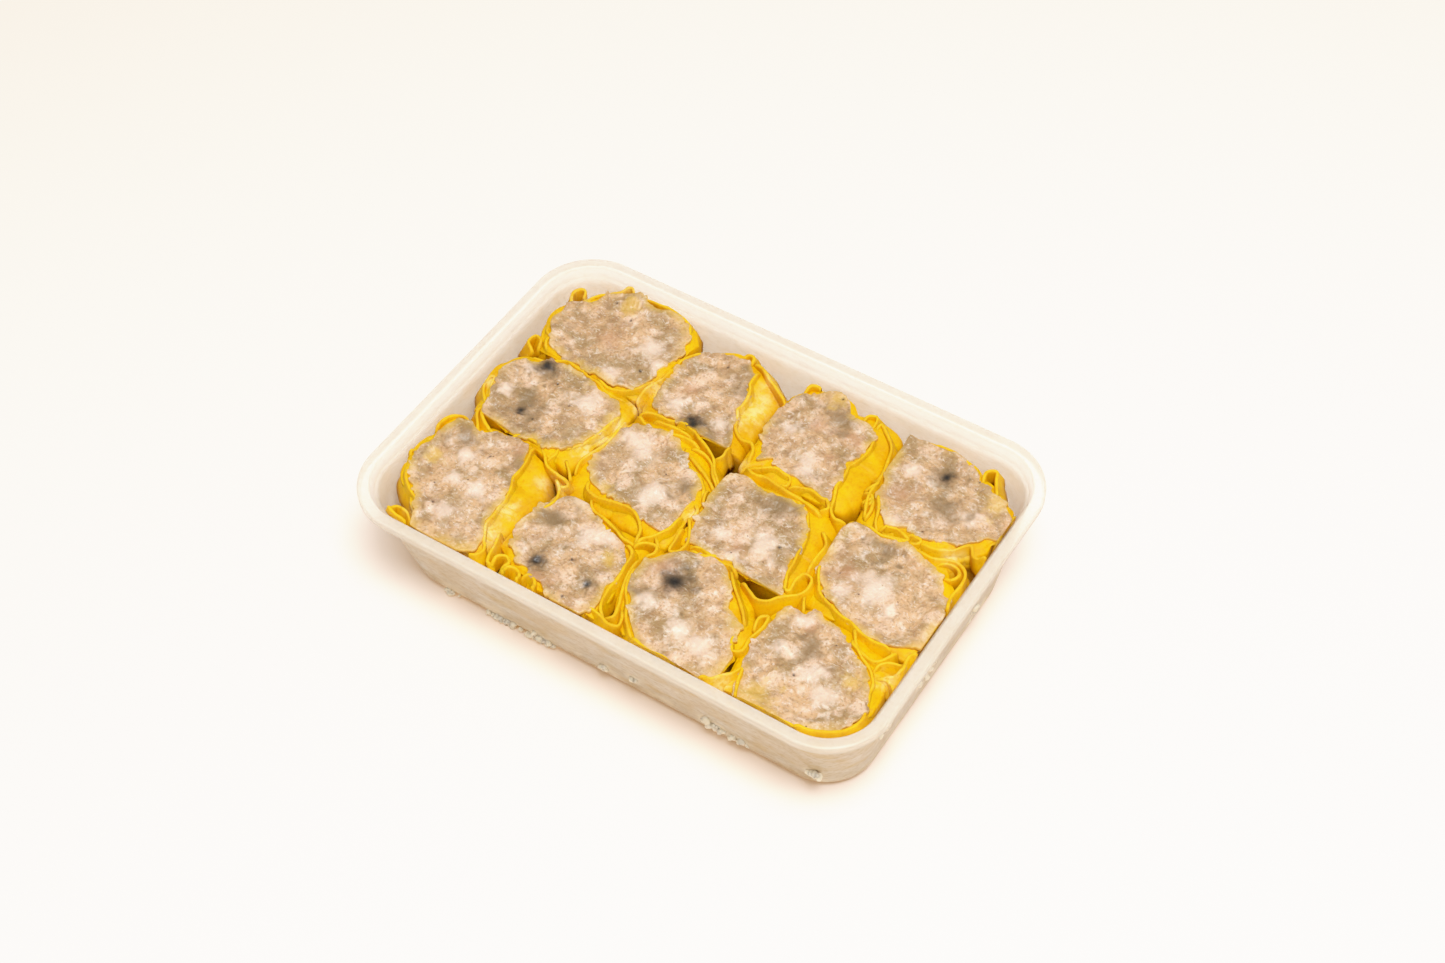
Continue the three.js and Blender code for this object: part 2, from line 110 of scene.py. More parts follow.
# Each dumpling: the middle of its filling and the height of its top, then towards +X, +Y, -X and -Y the
# wrapper's skirt beyond the filling, and how far its rim stands up. Then the corners of the filling's
# outline, and the lines that ribbons of gathered dough follow round it.
DUMPLINGS = [
    {"name": "a1", "x": -53, "y": 36, "top": 37.6, "seed": 11,
     "skirt": [1, 1, 2, 1], "rise": [0.4, 1.6, 0.8, 0.6],
     "mince": [(-74, 38), (-74.5, 33), (-71, 26), (-69, 22), (-62, 21.5), (-52, 21), (-45, 20),
               (-36.5, 24), (-35, 31), (-33.5, 40), (-36, 48), (-38, 51), (-52, 52), (-58, 52.5),
               (-63, 51), (-67, 46), (-71, 42.5)],
     "ribbons": [
         [(-73.5, 40.5), (-75.5, 43), (-76.3, 45.8), (-75, 47.6), (-73, 47), (-72.8, 45.5)],
         [(-71, 44), (-67, 49), (-63, 53), (-60.5, 54.5), (-59, 53)],
         [(-58, 53), (-51, 53.3), (-44, 53.2), (-38, 51.8), (-36, 49), (-34.5, 44.5)],
         [(-74.5, 30), (-73, 27), (-70.5, 26)],
         [(-71.5, 27), (-71, 23.5), (-69, 21)],
         [(-73, 19), (-76, 21.5), (-75, 24), (-72.5, 23), (-72, 20.5)],
         [(-72, 16.5), (-68, 17), (-64, 19.2), (-60, 20.6), (-56, 20.3), (-52, 18.8), (-48, 18.3),
          (-45, 17), (-41, 16.3), (-37, 17)],
         [(-50, 19.8), (-44, 18.6), (-40, 20), (-36.5, 23), (-35, 27)],
         [(-35, 19), (-34.5, 24), (-32.8, 30), (-32.4, 36)]]},
    {"name": "a2", "x": -18, "y": 32, "top": 36.9, "seed": 12,
     "skirt": [12, 1, 1, 2], "rise": [0.3, 0.8, 0.2, 1.2],
     "mince": [(-32, 37), (-31.5, 29), (-30, 20), (-26, 18), (-18, 19.3), (-13, 18.3), (-5, 15),
               (-2.5, 14), (-2, 19), (-5, 25), (-8, 31), (-10, 41), (-11.5, 46), (-15, 48.5), (-20, 49),
               (-26, 46.5), (-30, 42)],
     "ribbons": [
         [(-17.5, 49), (-16, 51), (-14, 50.6), (-13.8, 48.5)],
         [(-13, 49.5), (-10, 48.6), (-5, 45.5), (0, 42.8), (3, 41)],
         [(-10, 47), (-9.5, 40), (-8, 32), (-5, 26), (-1, 22.6), (3, 22.3), (5, 20), (5.8, 16)],
         [(-32, 36.5), (-30, 41), (-27, 44)],
         [(-31, 14.5), (-28, 16.6), (-22, 17), (-18, 18.4), (-14, 18), (-11, 16.2), (-7, 14.3),
          (-3, 11.5), (0, 7.5), (3, 5)],
         [(-31, 14), (-28, 12.5), (-25, 11.4), (-20, 12.6), (-14, 13.8), (-9, 13.2)],
         [(-3.5, 20), (-2, 17), (-1.8, 13), (-3.2, 12.2)],
         [(-26, 14.6), (-19, 15.4), (-13, 15.4)]]},
    {"name": "a3", "x": 17, "y": 33, "top": 37.2, "seed": 13,
     "skirt": [9, 1, 1, 2], "rise": [0.4, 0.6, 0.2, 1],
     "mince": [(3, 40), (2, 34), (4, 28), (7, 21.5), (8.5, 17.5), (11, 21), (14, 18.8), (20, 18),
               (27, 17), (32, 15.5), (31.5, 21), (30.5, 30), (32, 41), (31, 45), (22, 46.5), (19, 50),
               (15, 52), (9, 50), (5, 45)],
     "ribbons": [
         [(5.5, 47), (6.5, 50.5), (9, 50.8), (10, 49)],
         [(26, 46), (26.6, 49.5), (28.5, 50.3), (29.6, 47), (29.3, 45)],
         [(30.5, 46), (31, 48.5), (34, 46.5), (38, 42.5), (39.5, 38), (41.2, 30), (41.5, 24), (44, 17)],
         [(32, 43), (31, 35), (31, 28), (32, 22), (34, 17), (35.5, 13), (38, 11), (41, 11.8)],
         [(7, 14.5), (10, 15.6), (14, 17.8), (17.5, 18.3), (19.8, 16.5), (20, 14), (17, 13.6)],
         [(6.4, 14.6), (9, 13.2), (14, 13.6), (18, 12.8), (22, 12.3), (26, 12.2), (30, 11), (34, 10.2)],
         [(8, 11.8), (12, 10.3), (18, 9.6), (22, 10.2), (26, 11)],
         [(20.5, 14), (24, 16), (29, 16.6), (33, 15.3), (34.3, 13), (32.5, 11.6)]]},
    {"name": "a4", "x": 60, "y": 34, "top": 36.9, "seed": 14,
     "skirt": [2, 1, 1, 4], "rise": [0.8, 1.2, 0.4, 0.8],
     "mince": [(38.5, 49.5), (40, 43), (42, 33), (43.5, 27), (48, 20.5), (51, 16.8), (56, 19), (61, 18),
               (68, 19.5), (74, 24.5), (77, 28), (81, 28.5), (81, 35), (79, 38), (70, 42.5), (66, 45),
               (60, 48), (50, 49.3), (43, 48)],
     "ribbons": [
         [(66.5, 44.5), (66, 49), (68, 50.3), (69.5, 47.5), (72.6, 42)],
         [(64, 47), (60, 48.6), (54, 49.8), (48, 50)],
         [(39.5, 29.5), (41.5, 29), (40.8, 26.6), (39.4, 25.2)],
         [(39.6, 24.4), (42.2, 24), (43.5, 21.5), (42, 20)],
         [(41, 21), (43, 22.6), (44.8, 19), (44.5, 16.5)],
         [(43.5, 26), (46.5, 20.5), (48, 16.5), (49.5, 14.6)],
         [(50, 15), (52, 17.2), (56, 17), (59, 15.4), (56, 14.4), (52.5, 14)],
         [(57.5, 16.8), (60, 18.3), (62.3, 16.6), (60.5, 15), (58.6, 15.6)],
         [(45, 15), (48, 13.6), (54, 13.2), (60, 14.3), (64, 13.6), (68, 13.4), (71.5, 15), (74.5, 15.8),
          (77.6, 14.4), (79, 10.5), (78.6, 5), (80, 0)],
         [(62, 16.6), (66, 16.4), (71, 18.6), (75, 22.5), (77.5, 19.8), (81, 20.4)],
         [(81, 38), (81.2, 31), (81.3, 24)]]},
    {"name": "b1", "x": -54, "y": 4, "top": 37.4, "seed": 21,
     "skirt": [4, 1, 2, 2], "rise": [0.6, 0.8, 0.8, 0.8],
     "mince": [(-76, 9), (-75, 3), (-72, -3), (-70, -9.5), (-62, -13.5), (-57, -11), (-52, -10),
               (-46, -10.5), (-42, -7.5), (-38.5, -1), (-36.5, 6), (-36, 11), (-38.5, 14.5), (-46, 15.5),
               (-52, 18), (-62, 18), (-68, 16), (-73, 13.5)],
     "ribbons": [
         [(-78, 2), (-77, 4), (-74.5, 3.4), (-73, 0), (-72.3, -4), (-70.6, -9), (-67, -11.6),
          (-63.5, -12.6)],
         [(-77.5, 1.5), (-75.5, -2), (-72.5, -5.5), (-71.7, -10), (-69, -13.5), (-67, -16)],
         [(-66, -13.5), (-63, -12.8), (-61.8, -15), (-62.3, -17.3), (-65, -17.8), (-67.8, -16.4)],
         [(-73.5, 12), (-72, 14.6), (-70, 15.6)],
         [(-36.6, 13), (-35.8, 6), (-37.2, 0), (-39.5, -4.6), (-42, -6.4), (-43.3, -8), (-42.8, -11),
          (-44, -14)],
         [(-33, 11), (-32.6, 4), (-33.2, -2), (-35.4, -8), (-34.6, -13)],
         [(-39.5, -10.5), (-36, -13.8), (-34, -16)]]},
    {"name": "b2", "x": -17, "y": -3, "top": 37, "seed": 22,
     "skirt": [2, 4, 1, 6], "rise": [0.6, 1.2, 0.2, 0.2],
     "mince": [(-32, 7), (-28, 10.3), (-20, 12), (-15, 12.5), (-12.5, 9), (-8, 5), (0, 1), (1, -4),
               (0, -11), (-1, -17.5), (-9, -16.5), (-14, -15), (-20, -15), (-27, -14), (-31.5, -10.5),
               (-34, -4), (-33, 2)],
     "ribbons": [
         [(-12.8, 11.5), (-12, 8.5), (-9, 5.8), (-4, 3.4), (0.5, 1), (1.8, -2)],
         [(-11, 12), (-6.5, 12), (-2.5, 9.8), (0, 6.5), (3, 4)],
         [(-10, 9.2), (-5.5, 7), (-0.5, 4.6), (3, 2.4)],
         [(-29.5, -13), (-27.5, -16.6), (-22, -17.4), (-16, -16.4), (-12.5, -16.2), (-9, -18),
          (-6.3, -21), (-5, -25.5)],
         [(2.4, -9.5), (5.6, -14), (7.4, -18.5), (6.6, -21.8), (4.7, -22.6), (4, -19), (3, -13.5)],
         [(0, -10), (0.2, -16), (-1.8, -20), (-4, -23.5), (-4.8, -26)],
         [(-2.2, -20), (0.5, -22.5), (2, -24)],
         [(1, -4.6), (3.6, -7), (3.2, -10)]]},
    {"name": "b3", "x": 20, "y": -4, "top": 37.2, "seed": 23,
     "skirt": [7, 2, 1, 2], "rise": [0.4, 0.8, 0.2, 0.6],
     "mince": [(3.5, 9), (8, 11), (13, 9.2), (20, 8.8), (25, 10.8), (29, 9), (33, 3), (35, -5), (36, -12),
               (39, -19.5), (35, -22), (29, -20.5), (22, -17.5), (13, -17), (8, -16.5), (5, -10), (5, -5),
               (3, -1)],
     "ribbons": [
         [(24, 10.6), (29, 9.8), (32.5, 5), (34.6, -1), (35, -7), (36.6, -13), (38.2, -16.8), (39.8, -17),
          (40, -13), (41.2, -9.8), (43.2, -10.2), (44.2, -13), (43.4, -16), (41, -18.2), (38.6, -20.5),
          (36.8, -23), (34, -24), (31, -22.8), (27.5, -20.8)],
         [(37, 6), (40.5, 2), (40.6, -4), (41, -9)],
         [(8.5, -18.3), (13, -17.2), (18.5, -16.2), (22, -16.8), (25, -19.4)],
         [(1.6, 1.5), (2.2, -1), (3.4, -4)]]},
    {"name": "b4", "x": 61, "y": -2, "top": 36.7, "seed": 24,
     "skirt": [2, 2, 1, 3], "rise": [0.8, 1.2, 0.2, 0.4],
     "mince": [(43, 13.8), (52, 12), (61, 13.2), (66, 11.3), (75, 7), (78, 3), (80, -3), (81, -12.5),
               (76, -16.5), (68, -18.3), (60, -16.5), (52, -14), (47.5, -11.5), (43, -4), (41, 4),
               (42, 10)],
     "ribbons": [
         [(47, 12.2), (53, 12), (60, 13), (66, 12), (70, 10.3), (73, 8)],
         [(69.5, 12.2), (72.5, 14.3), (75.5, 14.2), (77, 12), (76, 9.8), (73, 9.6)],
         [(42.6, -4.6), (45, -9), (47.5, -12.8), (52, -14.8), (58, -16), (63, -17.6), (67, -19),
          (73.5, -19)],
         [(61.5, -17.8), (63, -20), (65.2, -22.8), (69, -24.6), (72, -25), (74.5, -22), (75.5, -19)],
         [(44.3, -15.5), (45.6, -18), (47, -20.5)],
         [(79, -21.5), (79.3, -18.6), (81, -17.6)],
         [(73, -28), (73.8, -25), (77, -22.8), (79.8, -22.6), (79.6, -26), (76, -28.4)]]},
    {"name": "c1", "x": -59, "y": -34, "top": 37.4, "seed": 31,
     "skirt": [9, 2, 2, 1], "rise": [0.3, 0.4, 1, 0.4],
     "mince": [(-75, -15.5), (-71, -15), (-66, -17), (-59, -13.5), (-52, -10.5), (-50, -14), (-48.5, -25),
               (-45.7, -35), (-45.3, -42), (-41.5, -47.5), (-44, -53.5), (-53, -54.3), (-62, -53.5),
               (-64, -48), (-68, -43.5), (-75, -38), (-77.5, -31), (-76, -24)],
     "ribbons": [
         [(-78, -22), (-78.2, -17.5), (-76.8, -14.3), (-74.5, -13.3), (-72, -14), (-69.6, -16.4),
          (-66, -17.4)],
         [(-76, -23.5), (-77, -28)],
         [(-78.4, -33.5), (-79.2, -31.8), (-77.8, -30.5), (-76.6, -32), (-77, -34)],
         [(-76.6, -35), (-75, -39.6), (-71, -43.2), (-66, -46), (-64, -50)],
         [(-64, -52), (-67, -50.3), (-70, -50.6), (-70.6, -52.6), (-67.5, -54), (-64, -53.8)],
         [(-58, -13), (-56, -11), (-52, -10.2), (-49, -10.4), (-45.5, -12.6), (-42.5, -15.6),
          (-38, -16.6), (-34.6, -17.2), (-33, -18.6), (-34.3, -19.7), (-36, -18.6)],
         [(-49.8, -11), (-49, -20), (-47.3, -28), (-45.6, -34), (-45.4, -42), (-42, -46.6), (-39.6, -50),
          (-40.3, -52), (-42.4, -53)],
         [(-39.6, -42), (-37.8, -47), (-37.2, -50.4), (-36, -52.6), (-34.6, -51.8)],
         [(-38, -17.5), (-34, -21.5), (-33, -25), (-34.5, -30)]]},
    {"name": "c2", "x": -19, "y": -38, "top": 36.9, "seed": 32,
     "skirt": [2, 2, 1, 1], "rise": [0.4, 0.4, 0.2, 1],
     "mince": [(-37, -37), (-35.5, -31), (-33, -25), (-30.5, -21.5), (-26.5, -18.5), (-23, -22.5),
               (-14, -26), (-7, -28), (-4, -32), (-3, -42), (-2, -49), (-4, -54), (-16, -53.5),
               (-19, -50), (-25, -48.5), (-31, -47), (-34.5, -42)],
     "ribbons": [
         [(-35, -52.5), (-34.6, -49.6), (-32.6, -48.4), (-30.8, -49.8), (-31, -52.5), (-30, -54)],
         [(-30, -54.2), (-30.2, -51.6), (-28, -50.5), (-25.8, -51.8), (-25, -54.2)],
         [(-25.2, -52), (-23, -50.2), (-20.8, -51.4), (-19.6, -54)],
         [(-25, -18.5), (-22.5, -21.4), (-17, -23), (-12, -24.8), (-8, -26.4), (-5, -26)],
         [(-5, -26.5), (-1.8, -23.8), (1, -23.6), (1.6, -25.6), (-0.5, -28.5)],
         [(-7, -27), (-4, -28.6), (-2.8, -33), (-2.7, -39), (-1.8, -45), (0, -49.5), (2.5, -51.6)],
         [(-1, -29), (-0.4, -36), (1.5, -41.5), (3.4, -46), (4, -50), (2, -51)]]},
    {"name": "c3", "x": 19, "y": -38, "top": 37.2, "seed": 33,
     "skirt": [3, 1, 1, 1], "rise": [0.4, 0.4, 0.4, 0.4],
     "mince": [(1, -28), (6, -23.5), (14, -20.5), (18, -17.5), (21.5, -19), (26, -26), (29, -31),
               (35.5, -34.5), (35, -39), (37, -42), (41.5, -45), (40.5, -49), (35, -54), (24, -54.3),
               (14, -53), (10, -50), (5.5, -43.5), (1, -37)],
     "ribbons": [
         [(0, -32), (2.3, -38.6), (5.6, -44), (9, -48.6), (12.5, -53)],
         [(-4, -52.6), (-3, -51), (1, -51.2), (5, -52.4), (7, -51.6), (6.6, -49), (4.6, -46)],
         [(22.5, -18.8), (26, -23), (30, -26.6), (33, -29.4), (36, -33)],
         [(35.6, -36), (35.8, -40), (37.6, -42), (39.8, -41), (39.6, -36), (40.8, -30.5), (40, -27.6),
          (38.6, -28.5), (38.8, -33)],
         [(12, -53.2), (18, -54.6), (26, -55), (33, -54.6)],
         [(35, -54.4), (38, -51), (41.4, -48.6), (43, -45.5), (44.4, -49.5), (46.4, -54)],
         [(9, -19.6), (14, -19.4), (18, -16.9)]]},
    {"name": "c4", "x": 59, "y": -38, "top": 36.9, "seed": 34,
     "skirt": [5, 4, 1, 1], "rise": [1, 0.6, 0.2, 0.8],
     "mince": [(41.3, -30), (42, -24), (44.5, -20.5), (47.5, -21), (50, -17.8), (53, -20.3), (58, -20.5),
               (62, -23), (68, -26), (73, -29), (75, -34), (77.5, -41), (76.5, -47), (74, -50.5),
               (66, -53), (55, -54.4), (46, -54), (43, -48), (41.5, -40)],
     "ribbons": [
         [(63, -21), (64.5, -23.6), (68.4, -25.8), (72.5, -28), (75, -31), (76, -37), (78.6, -42),
          (77.4, -47), (75, -50.6), (69, -52.4), (64, -53.6)],
         [(74, -29), (78, -28.2), (80.5, -30)],
         [(47, -54.8), (56, -55), (65, -53.8)]]},
]

# Marks on the fillings, as their middles and sizes: lumps of fat, grey and black mushroom, browned meat,
# and edges that the dough has tinted. Then how uneven each kind's edge is and how sharply it falls off,
# and its colour and strength, with the dough's colour for the side of the filling, partly the dough showing
# and partly painted light that lifts the shade in the crevice under the filling's edge.
MARKS = {
    "fat": [(-22, 3, 4), (-27, 6, 2.5), (-11, -8, 4.2), (26, -7, 4), (21, -16, 2.5), (67, -8, 1.8),
            (60, -4, 5), (-64, -25, 2.6), (-62, -34, 2.4), (-54, -34, 3), (-57, -45, 3.2),
            (-26, -21, 2.6), (-14, -27, 3.6), (-18, -31, 3.4), (-37, -36, 1.6), (20, 25, 2.6),
            (22, 21, 2.2), (48, 38, 2.4), (-42, 38, 3.4), (-36, 32, 2.6), (-47, 23, 3), (-68, 12, 2),
            (-46, 10, 3.6), (30, -46, 3), (22, -44, 3), (8, -40, 3), (48, -34, 2.2), (60, -37, 3.6),
            (66, -42, 3.4), (49, -23, 2.4), (-24, 24, 2.6), (-9, 24, 2.4), (10, 33, 2.4), (70, 31, 3),
            (52, 18, 2.6), (-70, 2, 2.2), (14, -10, 2.2), (52, -9, 2.4)],
    "grey": [(-8, 17, 2.8), (-15, 19, 4), (57, 41, 4.5), (62, 30, 5), (-66, 15, 3.6), (-62, 15, 3),
             (-62, 2, 3), (-61, -2, 4), (-57, -4, 3), (56, 9, 3), (22, 8, 6), (-25, -45, 3.6),
             (-8, -44, 2), (12, -31, 4), (-8, 40, 6), (20, 44, 5), (-29, -30, 4), (4, -40, 3),
             (-4, -2, 3), (-50, -18, 3), (55, -30, 4), (-68, -20, 4)],
    "black": [(-15, 19, 2.7), (-16.5, 21, 1.8), (57, 41, 1.9), (-65, 15.5, 2.2), (-61, -3, 1.5),
              (-25, -45, 1.9), (-8, -44.5, 1.2), (12, -31, 3.6), (-40, 28.5, 0.5), (-54, 44, 0.4),
              (-61.5, 47.5, 0.35), (-19, 44, 0.35), (17, 50.5, 0.45), (-58, 11.5, 0.4), (-50, 6, 0.35),
              (-56, -4, 0.35), (30, -5.5, 0.45), (-58, -22, 0.45), (-16.5, -39.7, 0.6), (-11, -52, 0.4),
              (56, -40, 0.45), (64, 18, 0.35), (69, 19, 0.35), (61, 20, 0.3), (66, 44, 0.35),
              (-62, -44, 0.4), (8, -49, 0.35)],
    "brown": [(-24, 31, 2.4), (28, 39, 3), (49, 29, 4), (-52, -15, 2.6), (-55, 34, 4), (50, -3, 3.4),
              (52, -24, 1.8), (6, -28, 3.4), (16, 38, 3), (25, 30, 1.6), (-20, -50, 3.4), (20, -12, 3)],
    "yellow": [(-36, 20, 4), (-48, 18, 2.6), (-24, -14, 2.4), (34, -34, 3.4), (31, -24, 3), (50, -51, 4),
               (45, -12, 3), (58, 16, 3), (74, 40, 3), (16, 50, 3), (-57, 49, 3), (-36, 8, 3),
               (36, 6, 2.4), (66, -20, 3), (-8, -34, 2.4), (4, -52, 3), (70, -34, 2.4), (-72, -30, 2.4)],
}
MARK_EDGES = {"fat": (0.9, 3), "grey": (1.2, 2.5), "black": (0.7, 2), "brown": (0.9, 2), "yellow": (0.9, 3)}
MARK_COLOURS = [("fat", "#F2D2BA", 0.68), ("grey", "#7A6242", 0.85), ("brown", "#B4805C", 0.6),
                ("yellow", "#D6A63C", 0.6), ("black", "#160F08", 1), ("side", "#E4B030", 0.95)]

# Lumps all through the mince: their size, colour and strength, for back fat, pale meat and mushroom.
LUMPS = [(6, "#E9BF9E", 0.8), (3, "#EFCBAF", 0.3), (4.5, "#94704C", 0.55)]

# Where flour or frost pales the dough, with the same two numbers for the patches' edges, and the
# heights between which the folds are darkened with painted shade, low down between the dumplings.
PALE = [(-4, 40, 3), (-3, 34, 3.4), (-6, 45, 2), (-5, 29, 2.4), (-41, -20, 2.4), (-36, -20, 2.6),
        (-43, -34, 2.6), (-42, -44, 3.6), (-34, 8, 2.6), (-34.5, 2, 2.6), (-37, -5, 2.4), (-33, 26, 2.4),
        (-34, 18, 2), (-60, 51, 3), (-73, 44, 2.4), (-76, 2, 2), (2, -8, 1.6), (3, 15, 2), (72, 17, 2.4),
        (41, -52, 2.4), (78, -28, 2), (-66, -48, 2)]
PALE_EDGE = (0.7, 2)
SHADED_FOLD_HEIGHTS = (34, 30)


# ---------------------------------------------------------------- numbers on arrays

TINY = 1e-9

# Numbers that scatter sine hashing, how many sizes out a mark still counts, and the length of the noise in
# its edge as a share of its size.
HASH_STEPS = (127.1, 311.7, 74.7)
HASH_SEED = 17.3
HASH_SPREAD = 43758.5453
MARK_REACH = 3
FUZZ_LENGTH = 0.7


def smooth(low, high, value):
    """0 below low, 1 above high, and 3t^2 - 2t^3 between."""
    t = np.clip((value - low) / (high - low), 0, 1)
    return t * t * (3 - 2 * t)


def around(values, angle):
    """A smooth closed curve (Catmull-Rom) through evenly spaced values round a circle, read at angles."""
    values = np.asarray(values, float)
    turn = np.asarray(angle) / FULL_TURN * len(values)
    whole = np.floor(turn).astype(int)
    part = turn - whole
    before, here, after, beyond = [values[(whole + step) % len(values)] for step in (-1, 0, 1, 2)]
    slope = (after - before) / 2
    next_slope = (beyond - here) / 2
    square, cube = part ** 2, part ** 3
    return (here * (2 * cube - 3 * square + 1) + slope * (cube - 2 * square + part)
            + after * (3 * square - 2 * cube) + next_slope * (cube - square))


def through(knots, values, at):
    """A smooth curve (Catmull-Rom by knot slopes) through rows of values, read at a spread of places."""
    knots = np.asarray(knots, float)
    values = np.array(values)
    slopes = np.gradient(values, knots, axis=0)
    low = np.clip(np.searchsorted(knots, at, side="right") - 1, 0, len(knots) - 2)
    span = (knots[low + 1] - knots[low])[:, None]
    t = ((at - knots[low])[:, None]) / span
    return ((2 * t ** 3 - 3 * t ** 2 + 1) * values[low] + (t ** 3 - 2 * t ** 2 + t) * span * slopes[low]
            + (3 * t ** 2 - 2 * t ** 3) * values[low + 1] + (t ** 3 - t ** 2) * span * slopes[low + 1])


def uneven(u, v, seed):
    """A smooth unevenness from about -1 to 1: the mean of three slanting sine waves, offset by the seed."""
    return sum(np.sin(a * u + b * v + c * seed) for a, b, c in UNEVEN_WAVES) / len(UNEVEN_WAVES)


def lattice(cells, seed):
    """A repeatable random number from -1 to 1 for each whole-numbered cell, by sine hashing."""
    mixed = np.sin(cells @ np.array(HASH_STEPS) + HASH_SEED * seed) * HASH_SPREAD
    return 2 * (mixed - np.floor(mixed)) - 1


def noise(points, length, seed, octaves=1):
    """Smooth random relief from -1 to 1: lattice numbers blended over cells of a length, octaves halving."""
    total = np.zeros(len(points))
    strength = 1.0
    for octave in range(octaves):
        spot = points / length * 2 ** octave
        cell = np.floor(spot)
        part = spot - cell
        part = part * part * (3 - 2 * part)
        for corner in np.ndindex(2, 2, 2):
            weight = np.prod(np.where(corner, part, 1 - part), axis=1)
            total += strength * weight * lattice(cell + corner, seed + octave)
        strength /= 2
    return total / (2 - 2 * strength)


def marked(points, marks, seed, fuzz, falloff):
    """How strongly marks cover points, from 0 to 1: each falls off from its middle as
    exp(-(d / size)^falloff), with the distance d made uneven by noise in proportion to the mark's size."""
    left = np.ones(len(points))
    for x, y, size in marks:
        away = np.hypot(points[:, 0] - x, points[:, 1] - y)
        near = away < MARK_REACH * size
        rough = 1 + fuzz * noise(points[near], FUZZ_LENGTH * size, seed, 3)
        left[near] *= 1 - np.exp(-(np.maximum(away[near] * rough, 0) / size) ** falloff)
    return 1 - left


# ---------------------------------------------------------------- meshes

def closed_rows(rows, columns):
    """Faces of a grid whose columns close on themselves, with a triangle fan to a pole at either end.
    Vertices are the rows in order, then the first pole, then the last."""
    i, j = np.meshgrid(np.arange(rows - 1), np.arange(columns), indexing="ij")
    right = (j + 1) % columns
    quads = np.stack([i * columns + j, i * columns + right, (i + 1) * columns + right,
                      (i + 1) * columns + j], -1).reshape(-1, 4)
    step = np.arange(columns)
    after = (step + 1) % columns
    first = np.stack([np.full(columns, rows * columns), after, step], -1)
    top = (rows - 1) * columns
    last = np.stack([np.full(columns, rows * columns + 1), top + step, top + after], -1)
    return quads.tolist() + first.tolist() + last.tolist()


def shifted(faces, start):
    """The same faces for vertices that begin at a later number."""
    return [[start + corner for corner in face] for face in faces]


def piece(name, points, faces, finish, replaced, masks):
    """A shaded mesh object from points in millimetres, riding on the root body."""
    mesh = bpy.data.meshes.new(name)
    mesh.from_pydata((points * MM).tolist(), [], faces)
    mesh.polygons.foreach_set("use_smooth", np.ones(len(mesh.polygons), bool))
    for mask, values in masks.items():
        layer = mesh.attributes.new(mask, "FLOAT", "POINT")
        layer.data.foreach_set("value", np.asarray(values, np.float32))
    mesh.materials.append(finish)
    mesh.update()
    shown = bpy.data.objects.new(name, mesh)
    bpy.context.scene.collection.objects.link(shown)
    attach(shown, ROOT)
    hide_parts(*replaced)


# ---------------------------------------------------------------- tub

# The tub's grid: steps round a corner, along a side and round a fillet and a bevel, rows up the wall and
# across the rim, where rings lie on the flat floor as shares of its half width, and how far apart the two
# rings of a softened edge are.
CORNER_STEPS = 28
SIDE_STEPS = 60
FILLET_STEPS = 8
BEVEL_STEPS = 4
WALL_ROWS = 14
RIM_TOP_ROWS = 10
FLAT_SHARES = (0.7, 0.45, 0.2)
SOFTENING = 0.15


def wall_at(z):
    """The tub wall's outer half sizes and corner radius at height z: a straight taper from rim to base."""
    drop = (TUB_HEIGHT - z) / TUB_HEIGHT
    return (TUB_LENGTH / 2 - RIM_WIDTH - TAPER_X * drop,
            TUB_WIDTH / 2 - RIM_WIDTH - TAPER_Y * drop,
            (RIM_CORNER - RIM_WIDTH) * (1 - drop) + BASE_CORNER * drop)


def outline_distance(x, y, half_x, half_y, corner):
    """Signed distance to a rounded rectangle round the origin, negative inside."""
    over_x = np.abs(x) - (half_x - corner)
    over_y = np.abs(y) - (half_y - corner)
    outside = np.hypot(np.maximum(over_x, 0), np.maximum(over_y, 0))
    return outside + np.minimum(np.maximum(over_x, over_y), 0) - corner


def rounded_ring(half_x, half_y, corner, z):
    """A rounded rectangle at one height: four arcs, with the straight sides cut into even steps."""
    ring = []
    for quarter in range(4):
        side_x = 1 if quarter in (0, 3) else -1
        side_y = 1 if quarter < 2 else -1
        angle = (quarter + np.linspace(0, 1, CORNER_STEPS + 1)) * FULL_TURN / 4
        ring.append(np.stack([side_x * (half_x - corner) + corner * np.cos(angle),
                              side_y * (half_y - corner) + corner * np.sin(angle)], -1))
    whole = []
    for quarter in range(4):
        arc, following = ring[quarter], ring[(quarter + 1) % 4]
        share = np.linspace(0, 1, SIDE_STEPS, endpoint=False)[1:, None]
        whole += [arc, arc[-1] * (1 - share) + following[0] * share]
    plan = np.concatenate(whole)
    return np.column_stack([plan, np.full(len(plan), z)])


def wall_ring(z, inset):
    """The wall's outline at height z, moved in by inset."""
    half_x, half_y, corner = wall_at(z)
    return rounded_ring(half_x - inset, half_y - inset, corner - inset, z)


def rim_ring(z, inset):
    """The rim's outline at height z, moved in by inset from the tub's outermost edge."""
    return rounded_ring(TUB_LENGTH / 2 - inset, TUB_WIDTH / 2 - inset, RIM_CORNER - inset, z)


def fillet_rings(floor, radius, inset):
    """Rings of the rounded edge between floor and wall: a quarter circle of a radius, from the floor up."""
    angles = np.linspace(0, FULL_TURN / 4, FILLET_STEPS + 1)
    return [wall_ring(floor + radius * (1 - math.cos(a)), inset + radius * (1 - math.sin(a))) for a in angles]


def wall_span(low, high, inset):
    """Rings up a stretch of wall, so that it has rows enough to hold its unevenness."""
    return [wall_ring(z, inset) for z in np.linspace(low, high, WALL_ROWS + 1)[1:-1]]


